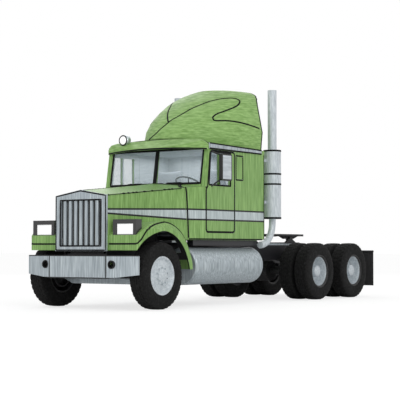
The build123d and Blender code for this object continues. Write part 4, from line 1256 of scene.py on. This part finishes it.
def studio_floor():
    """Pale floor that shows nearly white to the camera and keeps the truck's shadow."""
    floor = new_mesh("floor", lambda work: bmesh.ops.create_grid(work, x_segments=1, y_segments=1, size=160))
    graph = Graph("floor_paint")
    graph.paint(graph.ramp(graph.noise((3, 3, 3)), ((0.3, (246, 246, 246)), (0.7, (252, 252, 252)))))
    graph.set(Roughness=0.95, Specular_IOR_Level=0.1)
    lit = graph.node("ShaderNodeEmission")
    lit.inputs["Strength"].default_value = floor_glow
    seen = graph.node("ShaderNodeLightPath").outputs["Is Camera Ray"]
    graph.blend(graph.math("MULTIPLY", seen, floor_glow_share), graph.shader, lit)
    dress(floor, "floor_paint")
    floor.location.z = -0.002


def studio_room():
    """Soft light from all round, and a white background for the camera, reflections and glass."""
    world = bpy.data.worlds.new("studio")
    bpy.context.scene.world = world
    world.use_nodes = True
    tree = world.node_tree
    background = tree.nodes["Background"]
    background.inputs["Color"].default_value = (1, 1, 1, 1)
    path = tree.nodes.new("ShaderNodeLightPath")
    share = path.outputs["Is Camera Ray"]
    for ray in ("Is Glossy Ray", "Is Transmission Ray"):
        either = tree.nodes.new("ShaderNodeMath")
        either.operation = "MAXIMUM"
        tree.links.new(share, either.inputs[0])
        tree.links.new(path.outputs[ray], either.inputs[1])
        share = either.outputs[0]
    level = tree.nodes.new("ShaderNodeMapRange")
    level.inputs["To Min"].default_value = room_level
    level.inputs["To Max"].default_value = 1.0
    tree.links.new(share, level.inputs["Value"])
    tree.links.new(level.outputs[0], background.inputs["Strength"])


def area_lamp(name, place, size, power):
    light = bpy.data.lights.new(name, "AREA")
    light.size = size
    light.energy = power
    lamp = in_scene(name, light)
    lamp.location = place
    return lamp


def aim(thing, direction):
    thing.rotation_mode = "QUATERNION"
    thing.rotation_quaternion = direction.to_track_quat("-Z", "Y")


def lamps():
    """Three soft lamps that face the truck, and a panel under the cab's roof."""
    for name, place, size, power in LAMPS:
        aim(area_lamp(name, place, size, power), Vector((0, 0, 1.5)) - Vector(place))
    lamp = area_lamp("cabin", (at(-2.2), 0, 2.56), 1.3, cabin_power)
    lamp.data.shape = "RECTANGLE"
    lamp.data.size_y = 1.7
    lamp.visible_camera = False
    lamp.visible_glossy = False


camera_place = (18.403, 12.741, 0.947)
camera_yaw = math.radians(215.423)
camera_pitch = math.radians(2.205)
camera_lens = 112.36


def camera():
    data = bpy.data.cameras.new("camera")
    data.lens = camera_lens
    data.sensor_width = 36
    made = in_scene("camera", data)
    made.location = camera_place
    aim(made, Vector((
        math.cos(camera_yaw) * math.cos(camera_pitch),
        math.sin(camera_yaw) * math.cos(camera_pitch),
        math.sin(camera_pitch),
    )))
    bpy.context.scene.camera = made


studio_floor()
studio_room()
lamps()
camera()
bpy.context.scene.view_settings.view_transform = "Standard"
